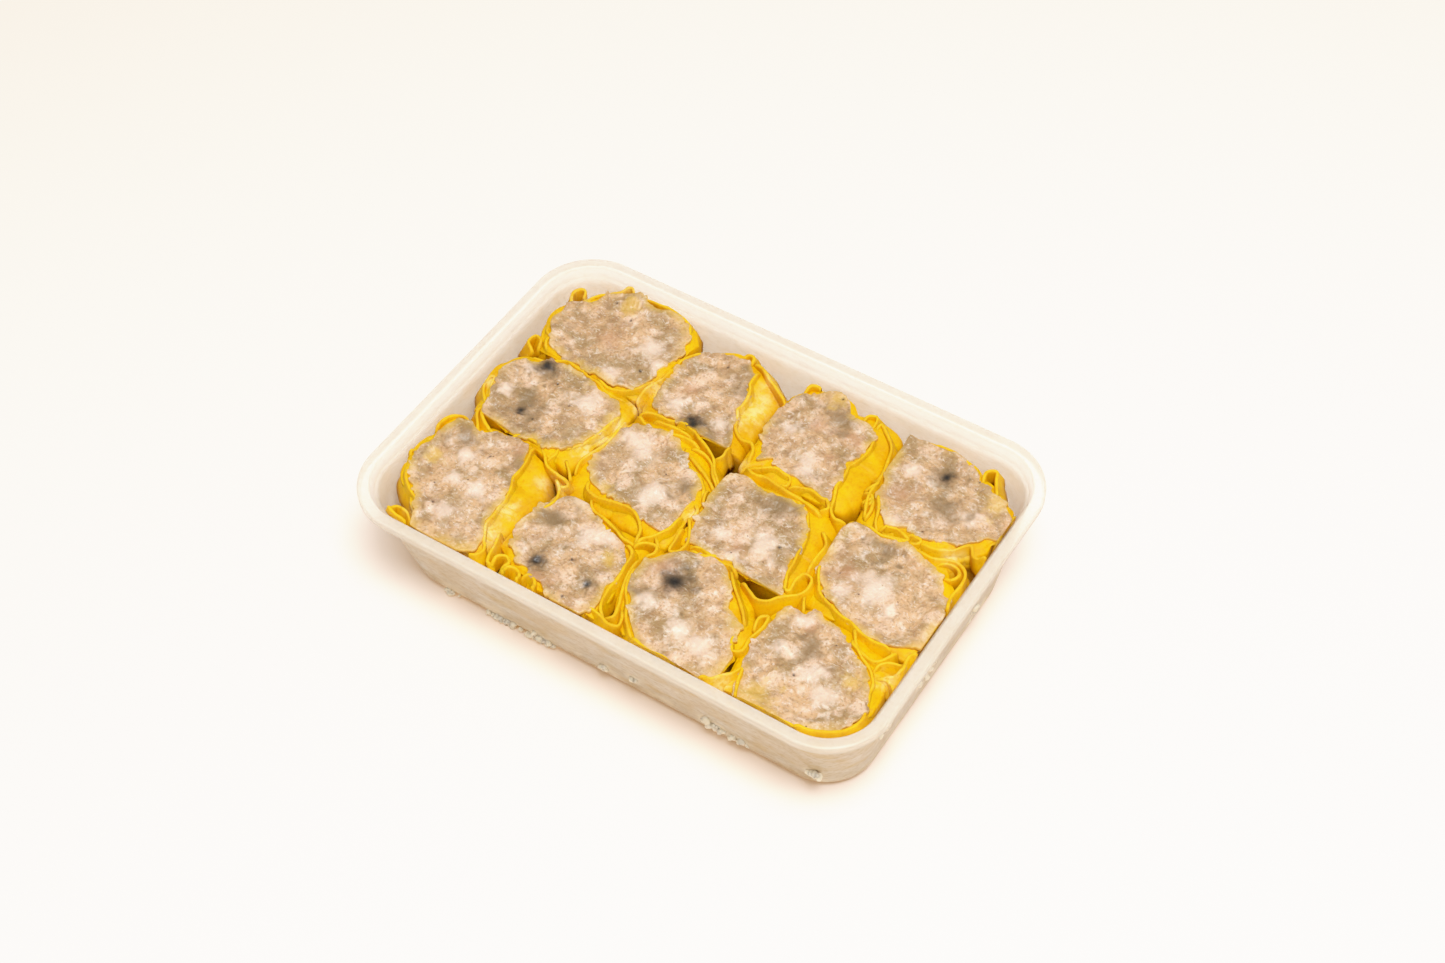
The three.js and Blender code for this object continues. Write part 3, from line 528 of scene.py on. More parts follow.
def tub_points():
    """From the middle of the underside out and up the wall, round the skirt and rim, and down inside. Rings
    come in pairs a little apart where an edge is to look softened."""
    skirt_foot = TUB_HEIGHT - SKIRT_DEPTH
    under_rim = TUB_HEIGHT - RIM_THICKNESS
    step_top = TUB_HEIGHT - STEP_DEPTH
    step_foot = step_top - STEP_WIDTH
    bevel = RIM_BEVEL * np.sin(np.linspace(0, FULL_TURN / 4, BEVEL_STEPS))
    fall = RIM_BEVEL * (1 - np.cos(np.linspace(0, FULL_TURN / 4, BEVEL_STEPS)))
    inner_bevel = RIM_WIDTH - RIM_BEVEL
    rings = [wall_ring(0, share * TUB_WIDTH / 2) for share in FLAT_SHARES]
    rings += fillet_rings(0, BASE_FILLET, 0)
    rings += wall_span(BASE_FILLET, under_rim, 0)
    rings += [wall_ring(under_rim - SOFTENING, 0), wall_ring(under_rim, -SOFTENING)]
    rings += [rim_ring(z, inset) for z, inset in (
        (under_rim, SKIRT_WALL + SOFTENING), (under_rim - SOFTENING, SKIRT_WALL),
        (skirt_foot + SOFTENING, SKIRT_WALL), (skirt_foot, SKIRT_WALL - SOFTENING),
        (skirt_foot, SOFTENING), (skirt_foot + SOFTENING, 0))]
    rings += [rim_ring(TUB_HEIGHT - RIM_BEVEL + up, inward) for up, inward in zip(bevel, fall)]
    rings += [rim_ring(TUB_HEIGHT, inset)
              for inset in np.linspace(RIM_BEVEL, inner_bevel, RIM_TOP_ROWS)[1:-1]]
    rings += [rim_ring(TUB_HEIGHT - down, inner_bevel + inward) for down, inward in zip(fall, bevel)]
    rings += [wall_ring(z, inset) for z, inset in (
        (step_top + SOFTENING, WALL - STEP_WIDTH), (step_top - SOFTENING, WALL - STEP_WIDTH + SOFTENING),
        (step_foot + SOFTENING, WALL - SOFTENING), (step_foot - SOFTENING, WALL))]
    rings += wall_span(BASE_FILLET, step_foot, WALL)[::-1]
    rings += fillet_rings(FLOOR, BASE_FILLET - WALL, WALL)[::-1]
    rings += [wall_ring(FLOOR, share * TUB_WIDTH / 2) for share in FLAT_SHARES[::-1]]
    return np.array(rings)


# The thin wall's slow warp: its depth and length, and the heights and depths between which it sets in.
WARP = 0.12
WARP_LENGTH = 26
WARP_HEIGHTS = (2, 9)
WARP_DEPTHS = (0, 7)

# Where the plastic is thickest: insets from the outermost edge and depths below the top.
RIM_LINES = [(0, 0), (RIM_WIDTH, 0), (0, SKIRT_DEPTH), (RIM_WIDTH + STEP_WIDTH, STEP_DEPTH)]
LINE_WIDTH = 0.5

# Frost on the outside of the near wall and the right wall: the middle of each patch along the wall, its
# height, half its length and half its depth, and how many crumbs it has.
FROST_NEAR = [(-36, 1.6, 6, 1.2, 34), (-24, 2.2, 5, 2.2, 34), (-1.5, 7.5, 1.6, 1, 12), (10, 11, 0.8, 0.6, 5),
              (35, 8, 4, 2, 36), (45, 6, 2.4, 1.6, 14), (69, 11, 1.6, 1.2, 12), (-58, 2, 5, 1, 10)]
FROST_RIGHT = [(-30, 19, 5, 2.4, 8), (-8, 16, 7, 5, 12), (20, 12, 8, 5, 7)]

# How widely crumbs spread over a patch, the heights that they keep between, their radii before a power that
# makes small ones more common, the grid of each, and how much it swells out of shape and over what length.
FROST_SEED = 7
FROST_ALONG = 0.5
FROST_UP = 0.6
FROST_HEIGHTS = (0.5, 30)
CRUMB_SIZES = (0.35, 1.2)
CRUMB_SIZE_POWER = 1.2
CRUMB_ROWS = 6
CRUMB_COLUMNS = 10
CRUMB_SWELL = 0.8
CRUMB_SWELL_LENGTH = 1.2

# Haze of frost low on the walls: how thick it is, the length and range of its noise, and the heights where
# it sets in. Then how thick it is round a crumb, and the square of how far it reaches there.
HAZE = 0.7
HAZE_LENGTH = 7
HAZE_RANGE = (0.05, 0.5)
HAZE_HEIGHTS = (14, 3)
CRUMB_HAZE = 0.75
CRUMB_HAZE_SQUARE = 3

# Where the outer wall and the skirt run, as depths below the top and insets, and how strongly the wall's
# finish shows on the inside and on the rim. Last, the heights between which the foot is darkened with painted
# shade, for the shadow close by the floor, and made more opaque.
WALL_DEPTHS = (3.4, 5)
WALL_INSETS = (0.7, 0.3)
INSIDE_SHARE = 0.25
RIM_SHARE = 0.2
SKIRT_DEPTHS = (0.3, 0.9)
SKIRT_FADE = 0.3
SKIRT_INSETS = (0.6, 0.3)
SHADED_FOOT_HEIGHTS = (9, 1)


def rim_lines(inset, depth):
    """Where the rim's edges run. Each line falls off as exp(-(d / width)^2)."""
    away = [np.hypot(inset - across, depth - down) for across, down in RIM_LINES]
    return np.exp(-(np.min(away, axis=0) / LINE_WIDTH) ** 2)


def frost_spots():
    """Where crumbs of frost sit on the outside of the wall, and their sizes: drawn from a bell curve round
    the middle of each patch, with small crumbs the more common."""
    draw = np.random.default_rng(FROST_SEED)
    spots = []
    for patches, near in ((FROST_NEAR, True), (FROST_RIGHT, False)):
        for along, height, half_length, half_depth, count in patches:
            run = along + half_length * draw.normal(0, FROST_ALONG, count)
            z = np.clip(height + half_depth * draw.normal(0, FROST_UP, count), *FROST_HEIGHTS)
            half_x, half_y, _ = wall_at(z)
            spots.append(np.stack([run, -half_y, z] if near else [half_x, run, z], -1))
    spots = np.concatenate(spots)
    return spots, draw.uniform(*CRUMB_SIZES, len(spots)) ** CRUMB_SIZE_POWER


def frost_crumbs(spots, sizes):
    """Crumbs of frost: small balls, each pushed out of shape by noise of its own size, and cut off flat
    where they would reach below the tub's underside."""
    up = np.linspace(-1, 1, CRUMB_ROWS + 2)[1:-1] * math.pi / 2
    turn = np.linspace(0, FULL_TURN, CRUMB_COLUMNS, endpoint=False)
    ball = np.stack([np.outer(np.cos(up), np.cos(turn)), np.outer(np.cos(up), np.sin(turn)),
                     np.outer(np.sin(up), np.ones(CRUMB_COLUMNS))], -1).reshape(-1, 3)
    ball = np.vstack([ball, [[0, 0, -1], [0, 0, 1]]])
    points = (spots[:, None] + ball * sizes[:, None, None]).reshape(-1, 3)
    swell = 1 + CRUMB_SWELL * noise(points, CRUMB_SWELL_LENGTH, 4, 3)
    centres = np.repeat(spots, len(ball), axis=0)
    crumbs = centres + (points - centres) * swell[:, None]
    crumbs[:, 2] = np.maximum(crumbs[:, 2], 0)
    return crumbs


def tub_masks(shell, spots):
    """Where frost lies on the tub and its thick edges run, how strongly the wall's finish shows, where the
    plastic is dense, and how near the foot is, for its painted shade and opacity, each from 0 to 1."""
    x, y, z = shell.T
    haze = smooth(*HAZE_RANGE, noise(shell, HAZE_LENGTH, 8, 3)) * smooth(*HAZE_HEIGHTS, z) * HAZE
    for spot in spots:
        haze = np.maximum(haze, CRUMB_HAZE * np.exp(-((shell - spot) ** 2).sum(1) / CRUMB_HAZE_SQUARE))
    depth = TUB_HEIGHT - z
    within = -outline_distance(x, y, *wall_at(z))
    inset = -outline_distance(x, y, TUB_LENGTH / 2, TUB_WIDTH / 2, RIM_CORNER)
    outer = INSIDE_SHARE + (1 - INSIDE_SHARE) * smooth(*WALL_INSETS, within)
    wall = smooth(*WALL_DEPTHS, depth) * outer
    skirt = (smooth(*SKIRT_DEPTHS, depth) * smooth(SKIRT_DEPTH + SKIRT_FADE, SKIRT_DEPTH, depth)
             * smooth(*SKIRT_INSETS, inset))
    # The foot mask marks where painted shade darkens the wall low down, by the floor.
    return {"frost": haze, "edge": rim_lines(inset, depth), "wall": np.maximum(wall, RIM_SHARE),
            "dense": np.maximum(wall, skirt), "shaded_foot": smooth(*SHADED_FOOT_HEIGHTS, z)}


def make_tub():
    """The tub, with a slow warp of the thin wall that leaves the flat base and the rim's outer edge alone,
    and crumbs of frost on its outside."""
    rings = tub_points()
    rows, columns = rings.shape[:2]
    points = rings.reshape(-1, 3)
    free = smooth(*WARP_HEIGHTS, points[:, 2]) * smooth(*WARP_DEPTHS, TUB_HEIGHT - points[:, 2])
    away = points * [1, 1, 0] / np.linalg.norm(points[:, :2], axis=1)[:, None]
    shell = np.vstack([points + away * (WARP * free * noise(points, WARP_LENGTH, 5, 2))[:, None],
                       [[0, 0, 0], [0, 0, FLOOR]]])
    spots, sizes = frost_spots()
    crumbs = frost_crumbs(spots, sizes)
    faces = closed_rows(rows, columns)
    crumb_faces = closed_rows(CRUMB_ROWS, CRUMB_COLUMNS)
    for start in range(len(shell), len(shell) + len(crumbs), len(crumbs) // len(spots)):
        faces += shifted(crumb_faces, start)
    masks = {mask: np.append(values, np.full(len(crumbs), float(mask == "frost")))
             for mask, values in tub_masks(shell, spots).items()}
    piece("polypropylene_tub", np.vstack([shell, crumbs]), faces, polypropylene(),
          ["tub"], masks)


# ---------------------------------------------------------------- dumplings

def tub_distance(x, y, z):
    """Signed distance to the tub's inner wall at height z, negative inside."""
    half_x, half_y, corner = wall_at(z)
    inset = WALL + TUB_GAP
    return outline_distance(x, y, half_x - inset, half_y - inset, corner - inset)


def tub_reach(x, y, angle, z):
    """How far rays from (x, y) go before they meet the tub's inner wall, found by halving."""
    near = np.zeros_like(angle)
    far = np.full_like(angle, TUB_LENGTH)
    for _ in range(WALL_HALVINGS):
        middle = (near + far) / 2
        inside = tub_distance(x + middle * np.cos(angle), y + middle * np.sin(angle), z) < 0
        near = np.where(inside, middle, near)
        far = np.where(inside, far, middle)
    return near


def reach(dumpling, angle):
    """How far the filling reaches: from corner to corner of its outline in equal steps of angle, with the
    corners blunted by a mean over a few degrees."""
    away = np.array(dumpling["mince"]) - [dumpling["x"], dumpling["y"]]
    turn = np.arctan2(away[:, 1], away[:, 0])
    distance = np.hypot(*away.T)
    reads = [np.interp(angle + shift * DEGREE, turn, distance, period=FULL_TURN) for shift in BLUNTING]
    return np.mean(reads, axis=0)


def wanted(dumpling, angle):
    """How far a dumpling wants to reach at its belly: its filling and the skirt of its wrapper."""
    return reach(dumpling, angle) + np.maximum(around(dumpling["skirt"], angle), 0)


def seams_of(dumpling):
    """The upright planes that part a dumpling from its neighbours: direction and distance of each, where
    the two wanted reaches meet."""
    seams = []
    for other in DUMPLINGS:
        across, along = other["x"] - dumpling["x"], other["y"] - dumpling["y"]
        distance = math.hypot(across, along)
        if other is not dumpling and distance < NEIGHBOUR_REACH:
            direction = math.atan2(along, across)
            own = wanted(dumpling, direction)
            theirs = wanted(other, direction + math.pi)
            seams.append((direction, distance * own / (own + theirs) - SEAM_GAP / 2))
    return seams


def crowd(dumpling, angle):
    """How squarely a direction faces a neighbour, from 0 to 1: the largest cosine to a seam, sharpened."""
    facing = [np.maximum(np.cos(angle - direction), 0) for direction, _ in seams_of(dumpling)]
    return np.max(facing, axis=0) ** CROWD_SHARPNESS


def room(dumpling, angle, z):
    """The room a dumpling has: the smooth least of the distances to its seams, and the tub's wall."""
    total = sum((np.maximum(np.cos(angle - direction), 0) / distance) ** SEAM_ROUNDING
                for direction, distance in seams_of(dumpling))
    return np.minimum(total ** (-1 / SEAM_ROUNDING), tub_reach(dumpling["x"], dumpling["y"], angle, z))


def pleat(dumpling, angle):
    """Pleats as dents from 0 to 1: broad swells that meet in sharp creases, unevenly spaced."""
    seed = dumpling["seed"]
    drift = sum(strength * np.sin(turns * angle + share * seed) for turns, share, strength in PLEAT_DRIFT)
    return 1 - np.abs(np.sin((PLEATS * angle + drift + seed) / 2)) ** PLEAT_BREADTH


def sections(dumpling, angle):
    """How far wrapper and filling reach at each angle, and how high the rim, shoulder and belly stand. The
    belly lies lower under the rim the wider the shoulder."""
    seed, top = dumpling["seed"], dumpling["top"]
    wish = wanted(dumpling, angle) + PLUMPNESS + CROWDING * crowd(dumpling, angle)
    belly = np.minimum(room(dumpling, angle, BELLY_ROOM_Z), wish)
    rim_z = (top - RIM_DROP + np.maximum(around(dumpling["rise"], angle), 0)
             + RIM_WAVE * uneven(RIM_WAVE_TURNS * angle, 0, seed))
    edge = np.minimum(reach(dumpling, angle) - RIM_TUCK, room(dumpling, angle, top - RIM_DROP) - SKIN)
    rim = edge + SKIN
    fall = SHOULDER_FALL + SHOULDER_SLOPE * np.maximum(belly - rim, 0)
    return {"belly": belly, "belly_z": rim_z - fall, "rim_z": rim_z, "edge": edge, "rim": rim,
            "shoulder": rim * (1 - SHOULDER_SHARE) + belly * SHOULDER_SHARE,
            "shoulder_z": rim_z - SHOULDER_FALL_SHARE * fall,
            "heel": np.minimum(HEEL_SHARE * belly, room(dumpling, angle, HEEL_Z)),
            "base": np.minimum(BASE_SHARE * belly, room(dumpling, angle, BASE_Z) - BASE_FILLET)}


def turned(dumpling, angle, radius, z):
    """Points of a dumpling from angle, distance from its middle, and height."""
    return np.stack([dumpling["x"] + radius * np.cos(angle), dumpling["y"] + radius * np.sin(angle), z], -1)


# The cup's grid, where its sections lie along its height, the shares of that height over which the pleats
# set in and fade, and the rim's and the inner face's rows.
CUP_COLUMNS = 300
CUP_ROWS = 46
CUP_KNOTS = (0, 0.1, 0.5, 0.78, 1)
PLEATS_SET_IN = (0, 0.45)
PLEATS_FADE = (0.55, 0.85)
PLEATS_LOST = 0.8
RIM_ROWS = 5
INNER_DEPTH = 9
INNER_ROWS = 7


def wrapper_points(dumpling):
    """The cup: reach and height each run smoothly through base, heel, belly, shoulder and rim, a small arc
    turns over the rim, and the inner face goes down to where the filling hides it."""
    angle = np.linspace(0, FULL_TURN, CUP_COLUMNS, endpoint=False)
    s = sections(dumpling, angle)
    flat = np.ones_like(angle)
    rows = np.linspace(0, 1, CUP_ROWS)
    radii = [s["base"], s["heel"], s["belly"], s["shoulder"], s["rim"]]
    heights = [BASE_Z * flat, HEEL_Z * flat, s["belly_z"], s["shoulder_z"], s["rim_z"]]
    outer_r, outer_z = through(CUP_KNOTS, radii, rows), through(CUP_KNOTS, heights, rows)
    slope_r, slope_z = np.gradient(outer_r, axis=0), np.gradient(outer_z, axis=0)
    steep = np.hypot(slope_r, slope_z) + TINY
    fade = smooth(*PLEATS_SET_IN, rows) * (1 - PLEATS_LOST * smooth(*PLEATS_FADE, rows))
    dent = PLEAT_DEPTH * pleat(dumpling, angle) * fade[:, None]
    outer_r -= dent * slope_z / steep
    outer_z += dent * slope_r / steep
    turn = np.linspace(0, math.pi, RIM_ROWS + 2)[1:-1, None]
    lip_r = outer_r[-1] - SKIN / 2 * (1 - np.cos(turn))
    lip_z = outer_z[-1] + SKIN / 2 * np.sin(turn)
    inner_z = outer_z[-1] - np.linspace(0, INNER_DEPTH, INNER_ROWS)[:, None]
    radius = np.vstack([outer_r, lip_r, outer_r[-1] - SKIN + 0 * inner_z])
    z = np.vstack([outer_z, lip_z, inner_z])
    # The rows over the rim mark a paler cut edge, which also carries a painted highlight along the rim's top.
    cut_edge_and_highlight = np.zeros(z.shape)
    cut_edge_and_highlight[CUP_ROWS - 1:CUP_ROWS + RIM_ROWS + 1] = 1
    return turned(dumpling, angle, radius, z), cut_edge_and_highlight


# A fold: its rows, its top and how that wanders, how deep it goes and leans, how its ends dip, how thick
# it is, how far down it is pale, as a cut edge and as a painted highlight along its top, and how clear of
# the filling it stays.
RIBBON_STEP = 0.4
RIBBON_LEAST_ROWS = 6
RIBBON_TOP = 36
RIBBON_WAVE = 0.8
RIBBON_WAVE_LENGTH = 6
RIBBON_DEPTH = 6
RIBBON_SPREAD = 0.55
RIBBON_ENDS = (-0.2, 2.2)
RIBBON_DIP = 1.6
RIBBON_SKIN = 0.95
RIBBON_SWELL = 0.25
RIBBON_SWELL_LENGTH = 2.5
RIBBON_CUT_AND_HIGHLIGHT_DEPTH = 0.8
RIBBON_CLEAR = 0.5
RIBBON_SIDE = np.linspace(1, 0, 6)
RIBBON_ARC = np.linspace(0, math.pi, 9)[1:-1]

# Folds squeezed up against the tub: how far they rise, and how near the wall they begin to.
WALL_RISE = 2.2
WALL_NEAR = 2


def ribbon_points(dumpling, corners):
    """A fold of dough: a strip with a rounded top, carried along a smooth line through its corners, clear of
    the filling. Its side towards the filling is upright and its other side slopes away, its top wanders up
    and down and rises beside the tub's wall, and both its ends dip."""
    corners = np.array(corners, float)
    knots = np.concatenate([[0], np.cumsum(np.hypot(*np.diff(corners, axis=0).T))])
    places = np.linspace(0, knots[-1], max(int(knots[-1] / RIBBON_STEP), RIBBON_LEAST_ROWS))
    line = through(knots, corners, places)
    middle = np.array([dumpling["x"], dumpling["y"]])
    away = line - middle
    distance = np.hypot(*away.T)
    least = reach(dumpling, np.arctan2(away[:, 1], away[:, 0])) + RIBBON_CLEAR
    line = middle + away * (np.maximum(distance, least) / distance)[:, None]
    ahead = np.gradient(line, axis=0)
    ahead /= np.linalg.norm(ahead, axis=1)[:, None]
    across = np.stack([ahead[:, 1], -ahead[:, 0]], -1)
    inward = middle - line
    inward /= np.linalg.norm(inward, axis=1)[:, None]
    ends = np.minimum(places, knots[-1] - places)
    at = np.column_stack([line, 0 * places])
    top = (RIBBON_TOP + RIBBON_WAVE * noise(at, RIBBON_WAVE_LENGTH, dumpling["seed"], 2)
           - RIBBON_DIP * (1 - np.sqrt(smooth(*RIBBON_ENDS, ends))))
    top += WALL_RISE * smooth(WALL_NEAR, 0, -tub_distance(line[:, 0], line[:, 1], RIBBON_TOP))
    side = np.concatenate([RIBBON_SIDE * 0 + 1, np.cos(RIBBON_ARC), RIBBON_SIDE * 0 - 1])
    down = np.concatenate([RIBBON_SIDE * RIBBON_DEPTH, 0 * RIBBON_ARC, RIBBON_SIDE[::-1] * RIBBON_DEPTH])
    up = np.concatenate([RIBBON_SIDE * 0, np.sin(RIBBON_ARC), RIBBON_SIDE * 0])
    half = RIBBON_SKIN / 2 * (1 + RIBBON_SWELL * noise(at, RIBBON_SWELL_LENGTH, dumpling["seed"] + 1))
    facing = np.maximum(-side * (across * inward).sum(1)[:, None], 0)
    plan = (line[:, None] + across[:, None] * (side * half[:, None])[..., None]
            - inward[:, None] * (RIBBON_SPREAD * down * facing)[..., None])
    z = top[:, None] - down + up * half[:, None]
    poles = np.array([np.append(plan[end].mean(0), z[end].mean()) for end in (0, -1)])
    # The last array marks the top band of the fold: paler as a cut edge, and carrying a painted highlight.
    return np.dstack([plan, z]), poles, np.clip(1 - down / RIBBON_CUT_AND_HIGHLIGHT_DEPTH, 0, 1) + 0 * z


WRINKLE = 0.13
WRINKLE_LENGTH = 3.2
WALL_CLEARANCE = 0.15
NUDGE = 0.01


def kept_inside(points):
    """Points moved down the slope of the distance to the tub's inner wall, where they come too near to it."""
    x, y, z = points.T
    past = np.maximum(tub_distance(x, y, z) - TUB_GAP + WALL_CLEARANCE, 0)
    slope_x = (tub_distance(x + NUDGE, y, z) - tub_distance(x - NUDGE, y, z)) / (2 * NUDGE)
    slope_y = (tub_distance(x, y + NUDGE, z) - tub_distance(x, y - NUDGE, z)) / (2 * NUDGE)
    return points - np.column_stack([slope_x * past, slope_y * past, 0 * past])


def make_wrapper(dumpling):
    """The dough cup with fine random wrinkles: noise of a few millimetres, along the outward direction. The
    ribbons of gathered dough stand round its rim."""
    grid, cut_edge_and_highlight = wrapper_points(dumpling)
    points = grid.reshape(-1, 3)
    middle = np.array([dumpling["x"], dumpling["y"], 0])
    outward = (points - middle) * [1, 1, 0]
    outward /= np.linalg.norm(outward, axis=1)[:, None] + TINY
    points = points + outward * (WRINKLE * noise(points, WRINKLE_LENGTH, dumpling["seed"], 3))[:, None]
    poles = [middle + [0, 0, BASE_Z], middle + [0, 0, dumpling["top"] - INNER_DEPTH]]
    shells = [np.vstack([points, poles])]
    cut_edges_and_highlights = [np.append(cut_edge_and_highlight.ravel(), [0, 0])]
    faces = closed_rows(*grid.shape[:2])
    for corners in dumpling["ribbons"]:
        strip, ends, ribbon_cut_and_highlight = ribbon_points(dumpling, corners)
        faces += shifted(closed_rows(*strip.shape[:2]), sum(len(shell) for shell in shells))
        shells.append(np.vstack([strip.reshape(-1, 3), ends]))
        cut_edges_and_highlights.append(np.append(ribbon_cut_and_highlight.ravel(), [0, 0]))
    points = kept_inside(np.vstack(shells))
    name = dumpling["name"]
    piece(f"dough_{name}", points, faces, FINISHES["dough"], [f"wrapper_{name}"],
          # The cut-edge mask also carries a painted highlight along the tops of the rim and folds.
          {"cut_edge_and_highlight": np.concatenate(cut_edges_and_highlights), "pale": marked(points, PALE, 3, *PALE_EDGE),
           # The fold-height mask carries painted shade low in the folds between the dumplings.
           "painted_fold_shade": smooth(*SHADED_FOLD_HEIGHTS, points[:, 2])})


MINCE_COLUMNS = 280
MINCE_ROWS = 60
MINCE_MIDDLE = 0.02
SIDE_ROWS = 10

# The craggy edge: noise on a circle pushes it out over the rim in laps and spikes.
EDGE_CIRCLE = 18
LAP = 0.5
LAP_LENGTH = 9
CRAG = 1.2
CRAG_LENGTH = 4.5
SPIKE = 2.2
SPIKE_LENGTH = 1.8
SPIKE_FROM = 0.1

# How the mound rounds down to its edge: shares of the way out, and heights over the rim.
BROW = (0.82, 1)
BROW_RISE = 0.4
COVER = 0.6
COVER_SHARES = (0.68, 0.86)
EDGE_THICKNESS = 0.6
LAPS_FULL = 1.5

# The side below the edge, as shares of the way down: it drops a little, turns in and goes down the cup.
EDGE_DROP = 1.5
EDGE_DROP_SHARES = (0, 0.15)
SIDE_DEPTH = 8
SIDE_SHARES = (0.1, 1)
TUCK_SHARES = (0.12, 0.4)
TUCK = 0.5
SIDE_LEAN = 0.8
SIDE_OUT = 1.05
BOTTOM_ROOM = 0.4


def filling_points(dumpling):
    """The mince: a low mound whose height falls with the square of the way out. Its craggy edge laps over
    the rim where noise pushes it out, and rounds down to the rim's height, then it drops over the edge and
    goes down inside the cup."""
    angle = np.linspace(0, FULL_TURN, MINCE_COLUMNS, endpoint=False)
    s = sections(dumpling, angle)
    seed = dumpling["seed"]
    rim_top = s["rim_z"] + SKIN / 2
    circle = np.stack([np.cos(angle), np.sin(angle), 0 * angle], -1) * EDGE_CIRCLE
    spike = np.maximum(noise(circle, SPIKE_LENGTH, seed + 4, 2) - SPIKE_FROM, 0)
    lap = RIM_TUCK + LAP * noise(circle, LAP_LENGTH, seed + 6) + CRAG * noise(circle, CRAG_LENGTH, seed, 2)
    edge = np.minimum(s["edge"] + lap + SPIKE * spike, room(dumpling, angle, dumpling["top"] - RIM_DROP))
    share = np.linspace(1, MINCE_MIDDLE, MINCE_ROWS)[:, None]
    radius = share * edge
    x = dumpling["x"] + radius * np.cos(angle)
    y = dumpling["y"] + radius * np.sin(angle)
    z = (dumpling["top"] - LUMP_HEIGHT - MOUND_FALL * share ** 2
         + LUMP_HEIGHT * uneven(x / LUMP_LENGTH, y / LUMP_LENGTH, seed))
    brow = smooth(*BROW, share) ** 2
    lapped = rim_top + EDGE_THICKNESS * smooth(0, LAPS_FULL, lap)
    z = z + smooth(*COVER_SHARES, share) * np.maximum(rim_top + COVER - z, 0)
    z = z * (1 - brow) + np.minimum(lapped, z + BROW_RISE) * brow
    under = np.linspace(0, 1, SIDE_ROWS)[::-1, None]
    within = np.minimum(edge, s["edge"]) - TUCK
    tucked = smooth(*TUCK_SHARES, under)
    side_r = edge * (1 - tucked) + within * tucked - SIDE_LEAN * under
    side_z = lapped - EDGE_DROP * smooth(*EDGE_DROP_SHARES, under) - SIDE_DEPTH * smooth(*SIDE_SHARES, under)
    radius = np.vstack([side_r[:-1], radius])
    z = np.vstack([side_z[:-1], z])
    return turned(dumpling, angle, radius, z), np.vstack([0 * side_r[:-1] + SIDE_OUT, share + 0 * edge])


# Relief of the mince, as height, length, shift of the seed and octaves: soft lumps, and a finer grain.
RELIEF = [(0.45, 3.4, 0, 2), (0.3, 1.3, 9, 3)]
RELIEF_EDGE = (1.04, 0.98)
FAT_RISE = 0.35
BLACK_DIP = 0.3

# Where the edge is thin enough for the dough's yellow to show, and where the side takes its colour: partly
# the dough showing, partly painted light that lifts the shade in the crevice under the edge.
THIN_EDGE = (0.8, 1)
THIN_RANGE = (-0.3, 0.3)
THIN_LENGTH = 8
SIDE_EDGE = (0.985, 1.03)


def make_filling(dumpling):
    """The mince with its relief: soft lumps of fat and meat, and a finer grain over them."""
    grid, out = filling_points(dumpling)
    points, out = grid.reshape(-1, 3), out.ravel()
    seed = dumpling["seed"]
    masks = {mark: marked(points, MARKS[mark], number, *MARK_EDGES[mark])
             for number, mark in enumerate(MARKS)}
    thin = smooth(*THIN_EDGE, out) * smooth(*THIN_RANGE, noise(points, THIN_LENGTH, seed + 2, 2))
    masks["yellow"] = np.maximum(masks["yellow"], thin)
    # The side's yellow is partly painted light, lifting the shade in the crevice under the filling's edge.
    masks["side"] = smooth(*SIDE_EDGE, out)
    lumps = sum(height * noise(points, length, seed + shift, octaves)
                for height, length, shift, octaves in RELIEF)
    raised = lumps + FAT_RISE * masks["fat"] - BLACK_DIP * masks["black"]
    points[:, 2] += smooth(*RELIEF_EDGE, out) * raised
    bottom = dumpling["top"] - RIM_DROP - SIDE_DEPTH - BOTTOM_ROOM
    poles = [[dumpling["x"], dumpling["y"], bottom], [dumpling["x"], dumpling["y"], points[-1, 2]]]
    masks = {mark: np.append(values, [0, 0]) for mark, values in masks.items()}
    name = dumpling["name"]
    piece(f"mince_{name}", kept_inside(np.vstack([points, poles])), closed_rows(*grid.shape[:2]),
          FINISHES["mince"], [f"filling_{name}"], masks)


# ---------------------------------------------------------------- materials

COLOUR = {"data_type": "RGBA"}
SOFT = {"interpolation_type": "SMOOTHSTEP"}
TIMES = {"operation": "MULTIPLY"}


def linear(code):
    """An sRGB hex colour as linear RGBA."""
    parts = [int(code[i:i + 2], 16) / 255 for i in (1, 3, 5)]
    return [p / 12.92 if p <= 0.04045 else ((p + 0.055) / 1.055) ** 2.4 for p in parts] + [1]


def per(size):
    """The scale that makes a pattern's features about size millimetres across."""
    return 1 / (size * MM)


def add(tree, kind, inputs, settings=(), output=0):
    """Adds a node with its settings, and gives each input, by name or number, its value or its link."""
    node = tree.nodes.new("ShaderNode" + kind)
    for key, value in dict(settings).items():
        setattr(node, key, value)
    for key, value in inputs.items():
        if isinstance(value, bpy.types.NodeSocket):
            tree.links.new(value, node.inputs[key])
        else:
            node.inputs[key].default_value = value
    return node.outputs[output] if node.outputs else None


def bare_material(name):
    """A material with an empty node tree."""
    material = bpy.data.materials.new(name)
    material.use_nodes = True
    material.node_tree.nodes.clear()
    return material, material.node_tree


